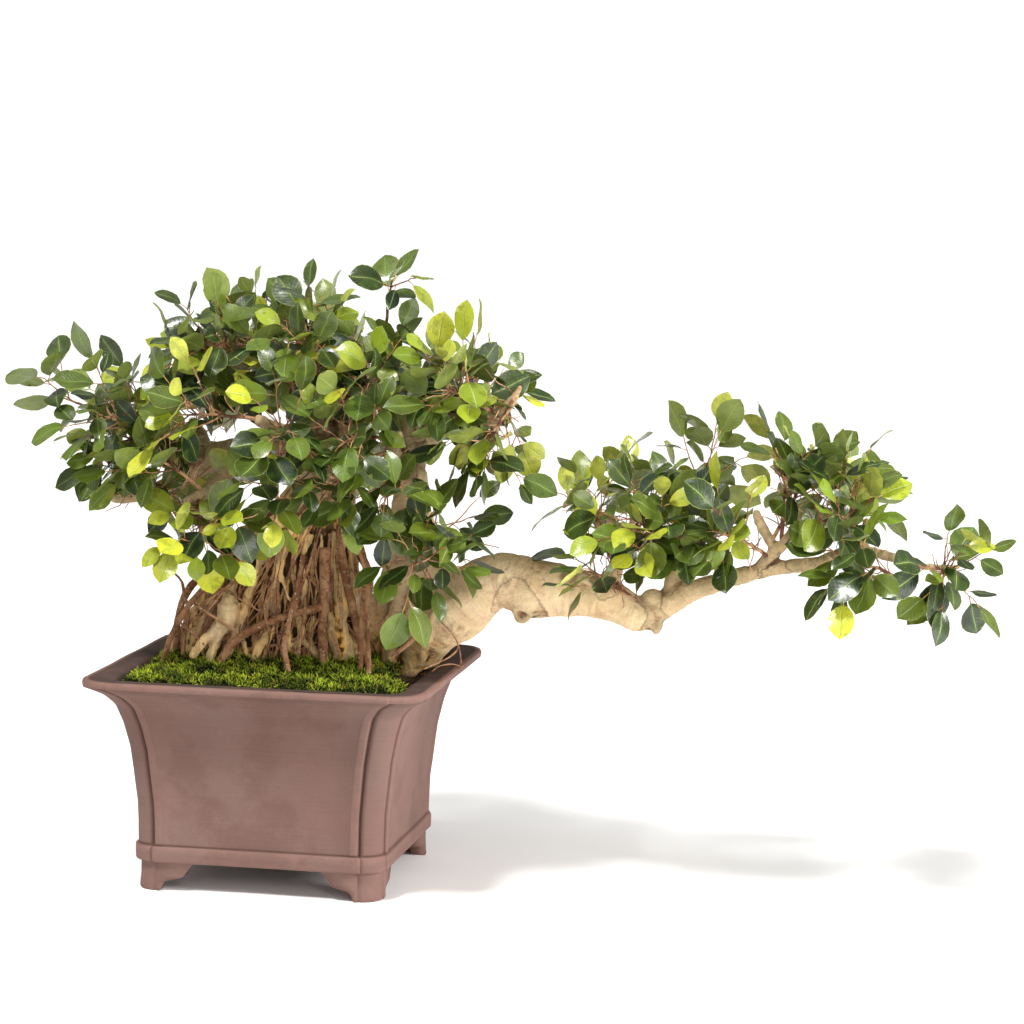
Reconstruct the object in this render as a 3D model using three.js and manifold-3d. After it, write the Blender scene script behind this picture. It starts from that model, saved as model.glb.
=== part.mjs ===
// Chinese banyan bonsai, Ficus microcarpa, in a square clay pot with bracket feet.
// Millimetres, +Z up, +Y away from the side that faces the viewer. The routes below
// are measured from the middle of the pot's footprint.

import * as THREE from 'three';
import { mergeVertices } from 'three/addons/utils/BufferGeometryUtils.js';
import Module from 'manifold-3d';

const wasm = await Module();
wasm.setup();
const { Manifold, Mesh: SolidMesh } = wasm;

const UP = new THREE.Vector3(0, 0, 1);
const GOLDEN_TURN = THREE.MathUtils.degToRad(137.5);
const SEAT_GAP = 0.3;

// Pot: square in plan, a quarter-round pilaster between two grooves at each corner.
const POT_HEIGHT = 211;
const POT_LOBE = 0.175;
const POT_GROOVE = 3.2;
const POT_FLOOR_TOP = 39;
const DRAIN_HOLE_RADIUS = 17;
// Height and half-width of the outer wall, from the underside to the rim.
const POT_WALL = [
  [28, 124], [31, 126.8], [43, 126.8], [45.5, 124.4], [84, 125.2], [138, 131.5],
  [165, 137.6], [184, 144], [195, 154], [202, 166], [204, 170], [211, 170],
];
// Height and half-width of the hollow, from the floor to the mouth.
const POT_HOLLOW = [
  [POT_FLOOR_TOP, 104], [60, 110], [150, 120], [186, 129], [198, 138], [POT_HEIGHT + 1, 142],
];
// Height, length along each side and outward flare of a bracket foot.
const FOOT = [
  [0, 26, 1.2], [9, 29, 0.6], [14, 47, 0.2], [30, 60, 0],
];
const FOOT_HALF_WIDTH = 122.2;
const FOOT_THICKNESS = 16;
const FOOT_GROOVE = 1.8;

// What fills the pot, from the floor up.
const SCREEN_SIDE = 56;
const SCREEN_THICKNESS = 1.6;
const SCREEN_HOLES = 3;
const SCREEN_BAR = 3;
const WALL_GAP = 0.5;
const GRAVEL_TOP = 72;
const SOIL_EDGE = 199;
const SOIL_CROWN = 213;
const MOSS_THICKNESS = 7;
const MOSS_RIM = 2.4;
const MOSS_LIFT = 0.4;
const MOSS_EDGE = 0.965;

// Root mass: height, middle x, middle y and the two half-widths of each level.
const ROOT_MASS = [
  [188, -20, 12, 92, 52], [222, -21, 12, 95, 55], [258, -15, 12, 82, 50],
  [292, -8, 12, 71, 46], [322, -4, 12, 63, 43], [346, 6, 12, 52, 39],
  [370, 22, 13, 39, 33], [398, 34, 14, 31, 28], [434, 38, 16, 25, 23],
];
const ROOT_MASS_SIDES = 24;
const ROOT_FLUTES = 8;
const ROOT_FLUTE_DEPTH = 0.085;

// Plain holes for the root mass and the buttress: middle x, y, half-widths and bottom.
const ROOT_HOLES = [[-20, 12, 108, 64, 187.7], [112, 36, 38, 40, 191.7]];

// Limbs: points x, y, z and the radius there.
const LIMBS = {
  right_stem: {
    sides: 8,
    route: [[112, 38, 192, 20], [112, 38, 212, 24], [121, 34, 230, 30], [133, 26, 256, 36],
      [132, 22, 288, 32], [124, 16, 330, 24], [120, 10, 380, 19], [122, 3, 430, 15],
      [128, -11, 455, 12]],
  },
  saddle: {
    sides: 6,
    route: [[56, 18, 274, 24], [86, 28, 246, 19], [114, 34, 236, 22]],
  },
  cascade: {
    sides: 8,
    route: [[104, 30, 236, 27], [144, 16, 257, 34], [172, 6, 276, 34], [192, 2, 293, 29],
      [214, 0, 305, 26], [230, -2, 303, 28], [248, -4, 298, 29], [285, -6, 296, 25],
      [320, -6, 291, 20], [354, -4, 277, 17], [377, 0, 285, 13], [402, 4, 299, 11],
      [431, 6, 310, 9], [470, 6, 323, 8], [512, 4, 330, 7]],
  },
  cascade_tip: {
    sides: 4,
    route: [[500, 4, 329, 7], [528, 2, 334, 6.5], [559, -4, 348, 5.5], [591, -8, 345, 4.6],
      [625, -12, 336, 3.6], [662, -14, 337, 2.4]],
  },
  tip_twig: {
    sides: 4,
    route: [[545, -2, 342, 5], [562, -5, 330, 4.2], [579, -8, 322, 3.6], [604, -10, 322, 3]],
  },
  left_limb: {
    sides: 7,
    route: [[34, 11, 402, 24], [8, 2, 420, 17], [-15, -6, 425, 16], [-50, -10, 422, 15],
      [-90, -13, 414, 14], [-115, -15, 421, 12.5], [-133, -19, 440, 10], [-148, -25, 452, 7.5],
      [-180, -30, 452, 5]],
  },
  left_low: {
    sides: 4,
    route: [[-82, -11, 412, 11], [-107, -25, 396, 8.5], [-135, -32, 383, 7],
      [-168, -40, 375, 5.5], [-200, -48, 396, 4]],
  },
  left_front: {
    sides: 4,
    route: [[-92, -13, 414, 11], [-102, -44, 430, 7], [-112, -66, 440, 5]],
  },
  left_rise: {
    sides: 4,
    route: [[-128, -17, 434, 9], [-124, -8, 461, 7.5], [-114, 2, 488, 6], [-96, 6, 511, 4.5]],
  },
  left_back: {
    sides: 4,
    route: [[-92, -10, 414, 11], [-100, 27, 428, 9], [-116, 63, 437, 7], [-128, 91, 443, 5]],
  },
  leader: {
    sides: 6,
    route: [[38, 14, 404, 26], [50, 19, 434, 20], [56, 24, 456, 16.5], [67, 28, 478, 13],
      [82, 29, 501, 9], [88, 31, 523, 5]],
  },
  middle: {
    sides: 4,
    route: [[40, 15, 420, 20], [16, 6, 458, 13], [-8, -3, 482, 10], [-26, -8, 505, 7],
      [-32, -10, 525, 5]],
  },
  back: {
    sides: 4,
    route: [[42, 17, 424, 18], [30, 55, 449, 12], [8, 86, 467, 9], [-18, 106, 482, 6]],
  },
  front_rise: {
    sides: 4,
    route: [[56, 24, 458, 13], [52, -17, 476, 7.5], [44, -49, 492, 5]],
  },
  back_rise: {
    sides: 4,
    route: [[62, 27, 470, 11], [56, 63, 486, 6.5], [44, 87, 498, 5]],
  },
  back_right: {
    sides: 4,
    route: [[114, 10, 392, 13], [124, 49, 424, 10], [138, 82, 445, 7], [146, 103, 463, 5]],
  },
  front: {
    sides: 4,
    route: [[36, 11, 416, 16], [22, -38, 436, 11], [8, -72, 449, 8.5], [-8, -99, 463, 6]],
  },
  front_right: {
    sides: 4,
    route: [[114, 6, 402, 13], [112, -36, 426, 9.5], [118, -66, 439, 7], [128, -89, 452, 5]],
  },
  right_limb: {
    sides: 5,
    route: [[124, -6, 446, 13], [153, -19, 467, 11.5], [182, -27, 461, 10], [208, -31, 466, 8],
      [228, -36, 483, 5], [237, -38, 498, 3]],
  },
  fork: {
    sides: 4,
    route: [[122, 0, 437, 12], [132, 8, 466, 10], [140, 12, 492, 8], [148, 17, 517, 5.5]],
  },
  low_front: {
    sides: 4,
    route: [[-46, -8, 420, 11], [-56, -44, 402, 8], [-68, -74, 388, 6], [-80, -93, 382, 4.5]],
  },
  low_right: {
    sides: 4,
    route: [[108, 11, 340, 15], [130, -19, 350, 9], [146, -30, 352, 6.5], [160, -38, 352, 4.5]],
  },
  pad_first: {
    sides: 4,
    route: [[318, -6, 292, 12], [332, -10, 330, 7.5], [328, -10, 354, 6], [322, -8, 378, 4.5]],
  },
  pad_rear: {
    sides: 4,
    route: [[332, -10, 333, 7], [334, 16, 344, 5.5], [332, 34, 354, 4]],
  },
  pad_second: {
    sides: 4,
    route: [[384, 2, 290, 10], [386, 14, 330, 7], [392, 16, 359, 6], [402, 12, 386, 4.5]],
  },
  pad_front: {
    sides: 4,
    route: [[386, 8, 333, 7], [398, -14, 349, 5.5], [414, -30, 363, 4]],
  },
  pad_third: {
    sides: 4,
    route: [[470, 6, 323, 8.5], [484, 4, 342, 7], [500, 4, 359, 6], [506, 2, 380, 4.5]],
  },
  pad_back: {
    sides: 4,
    route: [[486, 4, 344, 6.5], [470, 26, 361, 5.5], [462, 38, 376, 4]],
  },
  pad_fourth: {
    sides: 4,
    route: [[562, -4, 342, 6.5], [572, 2, 359, 5.5], [572, 6, 375, 4]],
  },
  knee: {
    sides: 5,
    route: [[366, -3, 290, 12], [370, -4, 272, 9], [371, -4, 262, 5]],
  },
  burl: {
    sides: 5,
    route: [[236, -8, 292, 17], [238, -14, 280, 13], [239, -16, 271, 7]],
  },
};

// Aerial roots that reach down into the soil.
const AERIAL_ROOTS = {
  root_a: [[22, -26, 330, 4], [8, -44, 290, 3.4], [-8, -52, 240, 3.2], [-2, -58, 200, 3.2]],
  root_b: [[40, -18, 330, 7], [44, -34, 285, 6], [44, -42, 240, 5.6], [50, -46, 200, 5.4]],
  root_c: [[46, 0, 350, 6], [66, -24, 290, 5], [82, -34, 240, 4.4], [98, -44, 200, 4]],
  root_d: [[50, 4, 366, 5], [84, -34, 322, 3.4], [84, -44, 262, 3.2], [84, -50, 200, 3.2]],
  root_e: [[44, -44, 276, 5], [4, -54, 264, 4.6], [-40, -58, 240, 5], [-66, -54, 200, 5]],
  root_f: [[-52, 4, 322, 6], [-98, -16, 286, 4.5], [-112, -14, 250, 4], [-113, -10, 200, 4]],
  root_g: [[-40, -6, 318, 5], [-84, -38, 282, 3.6], [-112, -36, 238, 3.4], [-124, -30, 204, 3.4]],
  root_h: [[16, 40, 326, 6], [-2, 76, 286, 5], [-20, 84, 240, 4.5], [-28, 88, 200, 4.5]],
  root_i: [[40, 28, 346, 6], [64, 72, 296, 5], [58, 84, 246, 4.5], [52, 90, 200, 4.5]],
};

// A leafy spray grows from the nearest suitable point of its limb towards its own tip.
// A number at the end of a row is the spray's count of side shoots, where it has few.
const SPRAYS = [
  ['left_rise', -43, -42, 522], ['middle', 10, -53, 520], ['leader', 16, -7, 518],
  ['leader', 84, -20, 508], ['middle', -57, 46, 532], ['leader', 14, 63, 522],
  ['left_rise', -80, -32, 492], ['middle', -88, -68, 528], ['leader', 108, -34, 598, 1],
  ['front_rise', 38, -94, 541], ['front_rise', 106, -78, 478], ['fork', 178, -39, 487],
  ['fork', 126, 75, 476], ['back_rise', -2, 153, 491], ['left_rise', -88, 89, 506],
  ['left_limb', -226, -30, 472, 2], ['left_back', -166, 24, 457],
  ['left_front', -165, -111, 460], ['front', -74, -139, 469], ['front', 38, -148, 456],
  ['front_right', 79, -133, 443], ['right_limb', 169, -93, 497], ['right_limb', 190, -19, 446],
  ['back_right', 198, 64, 492], ['back', 75, 139, 460], ['back', -78, 156, 476],
  ['left_low', -167, -38, 439], ['left_low', -150, -84, 418], ['low_front', -117, -124, 427],
  ['front', 16, -125, 371], ['front_right', 54, -99, 387], ['front_right', 116, -94, 384],
  ['right_limb', 196, -47, 423], ['back_right', 61, 99, 425], ['left_low', -94, -53, 373],
  ['low_front', -61, -126, 336], ['low_right', 147, -92, 322], ['low_right', 186, -53, 352],
  ['left_back', -140, 107, 378], ['pad_first', 299, 24, 389], ['cascade', 308, -40, 324],
  ['pad_rear', 346, 82, 358], ['pad_first', 368, -10, 380], ['pad_front', 358, -72, 370],
  ['pad_second', 402, -40, 356], ['pad_second', 412, 68, 408], ['pad_third', 429, -54, 367],
  ['pad_back', 507, 48, 411], ['pad_third', 500, -2, 428], ['pad_third', 558, -41, 379],
  ['pad_fourth', 553, 61, 374], ['pad_fourth', 546, 0, 406], ['tip_twig', 560, -50, 334],
  ['cascade_tip', 652, -28, 330],
];
const SPRAY_REACH = 80;
const SPRAY_LIFT = 0.14;
const SPRAY_SWAY = 0.1;
// Where on its limb a spray may start, in steps, and what counts against a start that
// runs along the limb or makes the spray hang.
const SPRING = { first: 8, last: 40, steep: 0.6, steepCost: 150, hangCost: 0.4 };
const NODE_HALF = 0.028;
// Shares of a stem and of a side shoot where the twigs are tried for clearance.
const STEM_BENDS = [0.25, 0.6];
const SHOOT_FOOT = 0.1;
// How squarely a face of a twig has to look along the twig to count as one of its ends.
const END_FACE = 0.7;
// Shares of a stem and of a side shoot where their last stretch, which holds leaves, lies.
const STEM_END = [0.93, 0.98];
const SHOOT_END = [0.72, 0.92];
const LEAF_CLEARANCE = 0.8;
const SHOOTS_PER_SPRAY = 7;
const SHOOTS_BUILT = 3;
// Shares of the stem where the top and the lowest side shoot stand.
const SHOOT_SPAN = [0.88, 0.4];
const SHOOT_LENGTH = 46;
const SHOOT_LENGTHS = [0.7, 1.2];
const SHOOT_RISE = 0.22;
const SHOOT_CURL = 0.1;
// A side shoot's length against the usual: at the stem's foot, and the loss by its tip.
const SHOOT_TAPER = [1.25, 0.4];
const SHOOT_THINNING = 0.7;
const SHOOT_ANGLE = THREE.MathUtils.degToRad(52);
const STEM_RADIUS = 2.4;
const SHOOT_RADIUS = 1.1;

// Leaves: elliptic, with a short point, alternate along each shoot above its bare part.
const STEM_BARE = 0.6;
const SHOOT_BARE = 0.25;
const LEAF_SPACING = 8;
const LEAF_CROWDING = 0.6;
const LEAF_LENGTH = 36;
const LEAF_LENGTHS = [0.62, 1.16];
const LEAF_SAGS = [0.02, 0.2];
// Angle between a leaf and its shoot: lowest leaf, last side leaf, end leaf.
const LEAF_ANGLES = [1.15, 0.7, 0.15];
const LEAF_DROOP = 0.45;
// How much a leaf's face turns up, out of the crown and to a side of its own.
const LEAF_FACING = { up: 0.7, outward: 0.65, stray: 0.4 };
const LEAF_BREADTH = 0.6;
const LEAF_THICKNESS = 1.5;
const PETIOLE_LENGTH = 9;
const SIDE_LEAVES_TRIED = 3;
const STEM_LEAVES_BUILT = 2;
const SHOOT_LEAVES_BUILT = 3;
// Share of the leaf's reach, half-breadth and depth of each section, root to tip.
const LEAF_SECTIONS = [[0, 0, 0], [0.42, 0.5, 1], [0.74, 0.42, 0.8], [1, 0, 0]];

const MATERIALS = {
  clay: new THREE.MeshStandardMaterial({ color: 0x95746c, roughness: 0.75, metalness: 0 }),
  plastic: new THREE.MeshStandardMaterial({ color: 0x222422, roughness: 0.6, metalness: 0 }),
  gravel: new THREE.MeshStandardMaterial({ color: 0xb9a07c, roughness: 0.95, metalness: 0 }),
  soil: new THREE.MeshStandardMaterial({ color: 0x3d2a1d, roughness: 0.98, metalness: 0 }),
  moss: new THREE.MeshStandardMaterial({ color: 0x6f9a1e, roughness: 0.95, metalness: 0 }),
  bark: new THREE.MeshStandardMaterial({ color: 0xa3885f, roughness: 0.85, metalness: 0 }),
  leaf: new THREE.MeshStandardMaterial({ color: 0x3c6b2a, roughness: 0.4, metalness: 0 }),
};

function vector([x, y, z]) {
  return new THREE.Vector3(x, y, z);
}

// Straight-line reading of rows [key, ...values] at a key.
function readRow(rows, key) {
  const next = rows.findIndex((row) => row[0] >= key);
  if (next <= 0) return rows[next === 0 ? 0 : rows.length - 1];
  const before = rows[next - 1];
  const after = rows[next];
  const share = (key - before[0]) / (after[0] - before[0]);
  return before.map((value, i) => THREE.MathUtils.lerp(value, after[i], share));
}

function solidOf(geometry) {
  return new Manifold(new SolidMesh({
    numProp: 3,
    vertProperties: geometry.attributes.position.array,
    triVerts: new Uint32Array(geometry.index.array),
  }));
}

// Turns a closed cylinder or ball into a solid whose side number k on ring number j lies
// at place(k, j). A flat end is a fan round place(null, j), and a pointed one is its tip.
function skin(sides, rings, place, pointed = 'neither') {
  const steps = rings - 1;
  const spindle = pointed === 'both';
  const blank = spindle
    ? new THREE.SphereGeometry(1, sides, steps)
    : new THREE.CylinderGeometry(pointed === 'end' ? 0 : 1, 1, 1, sides, steps);
  blank.deleteAttribute('normal');
  blank.deleteAttribute('uv');
  const geometry = mergeVertices(blank);
  const position = geometry.attributes.position;
  for (let i = 0; i < position.count; i += 1) {
    const [x, y, z] = [position.getX(i), position.getY(i), position.getZ(i)];
    const rise = spindle ? 1 - Math.acos(THREE.MathUtils.clamp(y, -1, 1)) / Math.PI : y + 0.5;
    const turn = Math.atan2(x, z) / (2 * Math.PI) + 1;
    const side = Math.hypot(x, z) < 1e-4 ? null : Math.round(turn * sides) % sides;
    const point = place(side, Math.round(rise * steps));
    position.setXYZ(i, point.x, point.y, point.z);
  }
  return solidOf(geometry);
}

// A round or flattened bar whose rings are given as a middle and two half-axes.
function bar(sides, rings, pointed) {
  return skin(sides, rings.length, (side, j) => {
    const { middle, across, over } = rings[j];
    if (side === null) return middle;
    const angle = (side / sides) * 2 * Math.PI;
    return middle.clone()
      .addScaledVector(across, Math.sin(angle))
      .addScaledVector(over, Math.cos(angle));
  }, pointed);
}

function smoothCurve(route) {
  return new THREE.CatmullRomCurve3(route.map(vector), false, 'centripetal');
}

// Rings along a curve, each turned as little as possible from the one before.
function ringsAlong(curve, shares, radiusAt) {
  let across = new THREE.Vector3(0.31, 0.87, 0.38);
  return shares.map((share) => {
    const along = curve.getTangent(share);
    across = across.clone().projectOnPlane(along).normalize();
    const over = across.clone().cross(along);
    const radius = radiusAt(share);
    return {
      middle: curve.getPoint(share),
      across: across.clone().multiplyScalar(radius),
      over: over.multiplyScalar(radius),
    };
  });
}

function taperedLimb(route, sides, swell = 0) {
  const steps = route.length - 1;
  const shares = route.map((_, i) => i / steps);
  const radiusAt = (share) => route[Math.round(share * steps)][3] + swell;
  return bar(sides, ringsAlong(smoothCurve(route), shares, radiusAt));
}

function meshOf(name, solid, material) {
  const { numProp, vertProperties, triVerts } = solid.getMesh();
  const points = new Float32Array((vertProperties.length / numProp) * 3);
  for (let i = 0; i < points.length; i += 1) {
    points[i] = vertProperties[Math.floor(i / 3) * numProp + (i % 3)];
  }
  const geometry = new THREE.BufferGeometry();
  geometry.setAttribute('position', new THREE.BufferAttribute(points, 3));
  geometry.setIndex(new THREE.BufferAttribute(new Uint32Array(triVerts), 1));
  geometry.computeVertexNormals();
  const mesh = new THREE.Mesh(geometry, material);
  mesh.name = name;
  return mesh;
}

function largestPiece(solid) {
  return solid.decompose().reduce((a, b) => (a.volume() > b.volume() ? a : b));
}

// Corner of the pot's plan at the front right, in order round the pot.
function potCorner(half, groove) {
  const lobe = half * POT_LOBE;
  const start = half - lobe;
  const arc = [-84, -45, -6].map((degrees) => {
    const angle = THREE.MathUtils.degToRad(degrees);
    return [start + (lobe - 1) * Math.cos(angle), -start + (lobe - 1) * Math.sin(angle)];
  });
  return [
    [start - 2, -half],
    [start, -half + groove],
    ...arc,
    [half - groove, -start],
    [half, -start + 2],
  ];
}

function hollowCorner(half) {
  const round = 16;
  return [-90, -45, 0].map((degrees) => {
    const angle = THREE.MathUtils.degToRad(degrees);
    return [half - round + round * Math.cos(angle), -half + round + round * Math.sin(angle)];
  });
}

function squareOutline(corner) {
  return [0, 1, 2, 3].flatMap((quarter) => corner.map(([x, y]) => {
    const point = new THREE.Vector2(x, y);
    return point.rotateAround(new THREE.Vector2(0, 0), (quarter * Math.PI) / 2);
  }));
}

// A solid of stacked outlines, each given as [height, list of plan points].
function stack(levels, middle = new THREE.Vector2(0, 0)) {
  const sides = levels[0][1].length;
  return skin(sides, levels.length, (side, j) => {
    const [height, outline] = levels[j];
    const point = side === null ? middle : outline[side];
    return new THREE.Vector3(point.x, point.y, height);
  });
}

function hollowSolid(bottom, top, clearance) {
  const within = POT_HOLLOW.filter(([height]) => height > bottom && height < top);
  const levels = [readRow(POT_HOLLOW, bottom), ...within, readRow(POT_HOLLOW, top)];
  levels[0] = [bottom, levels[0][1]];
  return stack(levels.map(([height, half]) => [
    height, squareOutline(hollowCorner(half - clearance)),
  ]));
}

function makeFoot(quarter) {
  const elbow = FOOT_HALF_WIDTH - FOOT_THICKNESS + 2;
  const levels = FOOT.map(([height, reach, flare]) => {
    const half = FOOT_HALF_WIDTH + flare;
    const inner = half - FOOT_THICKNESS;
    const outline = [
      [half - reach, -half], ...potCorner(half, FOOT_GROOVE), [half, -half + reach],
      [inner, -half + reach], [inner, -inner], [half - reach, -inner],
    ];
    return [height, outline.map(([x, y]) => new THREE.Vector2(x, y))];
  });
  return stack(levels, new THREE.Vector2(elbow, -elbow)).rotate([0, 0, 90 * quarter]);
}

function makePot() {
  const body = stack(POT_WALL.map(([height, half]) => [
    height, squareOutline(potCorner(half, POT_GROOVE)),
  ]));
  const hole = stack([20, POT_FLOOR_TOP + 10].map((height) => [
    height, circleOutline(DRAIN_HOLE_RADIUS, 16),
  ]));
  const feet = [0, 1, 2, 3].map(makeFoot);
  return Manifold.union([body, ...feet])
    .subtract(hollowSolid(POT_FLOOR_TOP, POT_HEIGHT + 1, 0))
    .subtract(hole);
}

function circleOutline(radius, sides) {
  return Array.from({ length: sides }, (_, k) => {
    const angle = (k / sides) * 2 * Math.PI;
    return new THREE.Vector2(radius * Math.sin(angle), -radius * Math.cos(angle));
  });
}

function block(wide, deep, high, x, y, z) {
  const box = new THREE.BoxGeometry(wide, deep, high);
  box.translate(x, y, z);
  box.deleteAttribute('normal');
  box.deleteAttribute('uv');
  return solidOf(mergeVertices(box));
}

// The mesh that keeps soil from running out of the drain hole.
function makeScreen() {
  const z = POT_FLOOR_TOP + SEAT_GAP + SCREEN_THICKNESS / 2;
  const pitch = (SCREEN_SIDE - SCREEN_BAR) / SCREEN_HOLES;
  const hole = pitch - SCREEN_BAR;
  const holes = [];
  for (let i = 0; i < SCREEN_HOLES; i += 1) {
    for (let j = 0; j < SCREEN_HOLES; j += 1) {
      const x = (i - (SCREEN_HOLES - 1) / 2) * pitch;
      const y = (j - (SCREEN_HOLES - 1) / 2) * pitch;
      holes.push(block(hole, hole, 2 * SCREEN_THICKNESS, x, y, z));
    }
  }
  return block(SCREEN_SIDE, SCREEN_SIDE, SCREEN_THICKNESS, 0, 0, z).subtract(Manifold.union(holes));
}

function makeGravel() {
  const bottom = POT_FLOOR_TOP + SEAT_GAP;
  const side = SCREEN_SIDE + 2;
  const pocket = block(side, side, 2 * (SCREEN_THICKNESS + SEAT_GAP), 0, 0, bottom);
  return hollowSolid(bottom, GRAVEL_TOP, WALL_GAP).subtract(pocket);
}

// The soil's gentle mound: share of the way out to the wall, and height there.
const MOUND = [0.45, 0.75, 1].map((share) => [
  share, THREE.MathUtils.lerp(SOIL_CROWN, SOIL_EDGE, share ** 2),
]);

function moundOutline(share, alongSide = []) {
  const half = readRow(POT_HOLLOW, SOIL_EDGE)[1] - WALL_GAP;
  const corner = [...hollowCorner(half), ...alongSide.map((part) => [half, half * part])];
  return squareOutline(corner).map((point) => point.multiplyScalar(share));
}

function makeSoil() {
  const bottom = GRAVEL_TOP + SEAT_GAP;
  const wall = POT_HOLLOW.filter(([height]) => height > bottom && height < SOIL_EDGE);
  const rows = [[bottom, readRow(POT_HOLLOW, bottom)[1]], ...wall].map(([height, half]) => [
    height, squareOutline(hollowCorner(half - WALL_GAP)),
  ]);
  const top = [...MOUND].reverse().map(([share, height]) => [height, moundOutline(share)]);
  return stack([...rows, ...top]);
}

// Wavy height of the moss cushions above the mound.
function mossRelief(x, y) {
  return 1.5 * Math.sin(x / 11 + 1.3) * Math.cos(y / 13) + 1.1 * Math.sin((x + 2 * y) / 17);
}

// The moss carpet runs out under itself along the soil and back over the cushions.
function makeMoss() {
  const outward = [...MOUND.slice(0, -1).map(([share]) => share), MOSS_EDGE];
  const inward = [MOSS_EDGE, 0.88, 0.7, 0.45];
  const shares = [...outward, ...inward];
  const outlines = shares.map((share) => moundOutline(share, [-0.2]));
  return skin(outlines[0].length, shares.length, (side, j) => {
    const { x, y } = side === null ? new THREE.Vector2() : outlines[j][side];
    const ground = readRow(MOUND, shares[j])[1] + MOSS_LIFT;
    const over = j >= outward.length;
    const thick = j === outward.length ? MOSS_RIM : MOSS_THICKNESS + mossRelief(x, y);
    return new THREE.Vector3(x, y, ground + (over ? thick : 0));
  });
}

// The fused, fluted mass of old roots that the trunk rises from.
function makeRootMass(swell) {
  return skin(ROOT_MASS_SIDES, ROOT_MASS.length, (side, j) => {
    const [height, x, y, wide, deep] = ROOT_MASS[j];
    if (side === null) return new THREE.Vector3(x, y, height + (j ? swell : -swell));
    const angle = (side / ROOT_MASS_SIDES) * 2 * Math.PI;
    const flute = 1 + ROOT_FLUTE_DEPTH * Math.sin(ROOT_FLUTES * angle + j * 0.5);
    return new THREE.Vector3(
      x + (wide * flute + swell) * Math.sin(angle),
      y - (deep * flute + swell) * Math.cos(angle),
      height + (j === 0 ? -swell : 0),
    );
  });
}

function makeAerialRoots(swell) {
  return Object.values(AERIAL_ROOTS).map((route) => taperedLimb(route, 4, swell));
}

function makeTree(swell = 0) {
  const limbs = Object.values(LIMBS).map(({ route, sides }) => taperedLimb(route, sides, swell));
  return Manifold.union([makeRootMass(swell), ...limbs, ...makeAerialRoots(swell)]);
}

function makeRootHoles() {
  const plain = ROOT_HOLES.map(([x, y, wide, deep, bottom]) => {
    const outline = circleOutline(1, 14).map((p) => new THREE.Vector2(x + wide * p.x, y + deep * p.y));
    return stack([bottom, SOIL_CROWN + 30].map((z) => [z, outline]), new THREE.Vector2(x, y));
  });
  return Manifold.union([...plain, ...makeAerialRoots(0.6)]);
}

function randomFrom(seed) {
  let state = seed;
  return () => {
    state = (state * 1664525 + 1013904223) % 4294967296;
    return state / 4294967296;
  };
}

function between(random, low, high) {
  return low + (high - low) * random();
}

// The point of a limb from which a spray can reach its tip at about its usual length
// without running along the limb. A spray may also carry on from the limb's end.
function springPoint(limb, tip) {
  const curve = smoothCurve(LIMBS[limb].route);
  let best = null;
  for (let step = SPRING.first; step <= SPRING.last; step += 1) {
    const point = curve.getPoint(step / SPRING.last);
    const way = tip.clone().sub(point);
    const along = way.clone().normalize().dot(curve.getTangent(step / SPRING.last));
    const steep = step === SPRING.last ? 0 : Math.max(0, along - SPRING.steep);
    const miss = Math.abs(way.length() - SPRAY_REACH)
      + SPRING.steepCost * steep + SPRING.hangCost * Math.max(0, -way.z);
    if (best === null || miss < best.miss) best = { point, miss };
  }
  return best.point;
}

// Two unit vectors square to a direction, the first one level.
function crossAxes(along) {
  const level = new THREE.Vector3().crossVectors(along, UP);
  if (level.lengthSq() < 0.01) level.set(1, 0, 0).projectOnPlane(along);
  level.normalize();
  return [level, new THREE.Vector3().crossVectors(level, along)];
}

function sidewise(along, turn) {
  const [level, steep] = crossAxes(along);
  return level.multiplyScalar(Math.cos(turn)).addScaledVector(steep, Math.sin(turn));
}

// Leaves stand alternately along a shoot, turn their faces to the light, and end in one
// at the tip.
function leavesOn(shoot, bare, outward, random) {
  const count = Math.max(2, Math.floor((shoot.getLength() * (1 - bare)) / LEAF_SPACING));
  const first = between(random, 0, 2 * Math.PI);
  const leaves = [];
  for (let k = 0; k <= count; k += 1) {
    const share = bare + (1 - bare) * (k / count) ** LEAF_CROWDING;
    const along = shoot.getTangent(share);
    const [foot, side, end] = LEAF_ANGLES;
    const open = k === count ? end : THREE.MathUtils.lerp(foot, side, k / count);
    const heading = along.clone().multiplyScalar(Math.cos(open))
      .addScaledVector(sidewise(along, first + k * GOLDEN_TURN), Math.sin(open))
      .addScaledVector(UP, -between(random, 0, LEAF_DROOP))
      .normalize();
    const facing = UP.clone().multiplyScalar(LEAF_FACING.up)
      .addScaledVector(outward, LEAF_FACING.outward)
      .addScaledVector(sidewise(UP, between(random, 0, 2 * Math.PI)), LEAF_FACING.stray)
      .projectOnPlane(heading)
      .normalize();
    leaves.push({
      root: shoot.getPoint(share),
      heading,
      facing,
      length: LEAF_LENGTH * between(random, ...LEAF_LENGTHS),
      sag: between(random, ...LEAF_SAGS),
      order: count - k + random(),
    });
  }
  return leaves;
}

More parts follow.
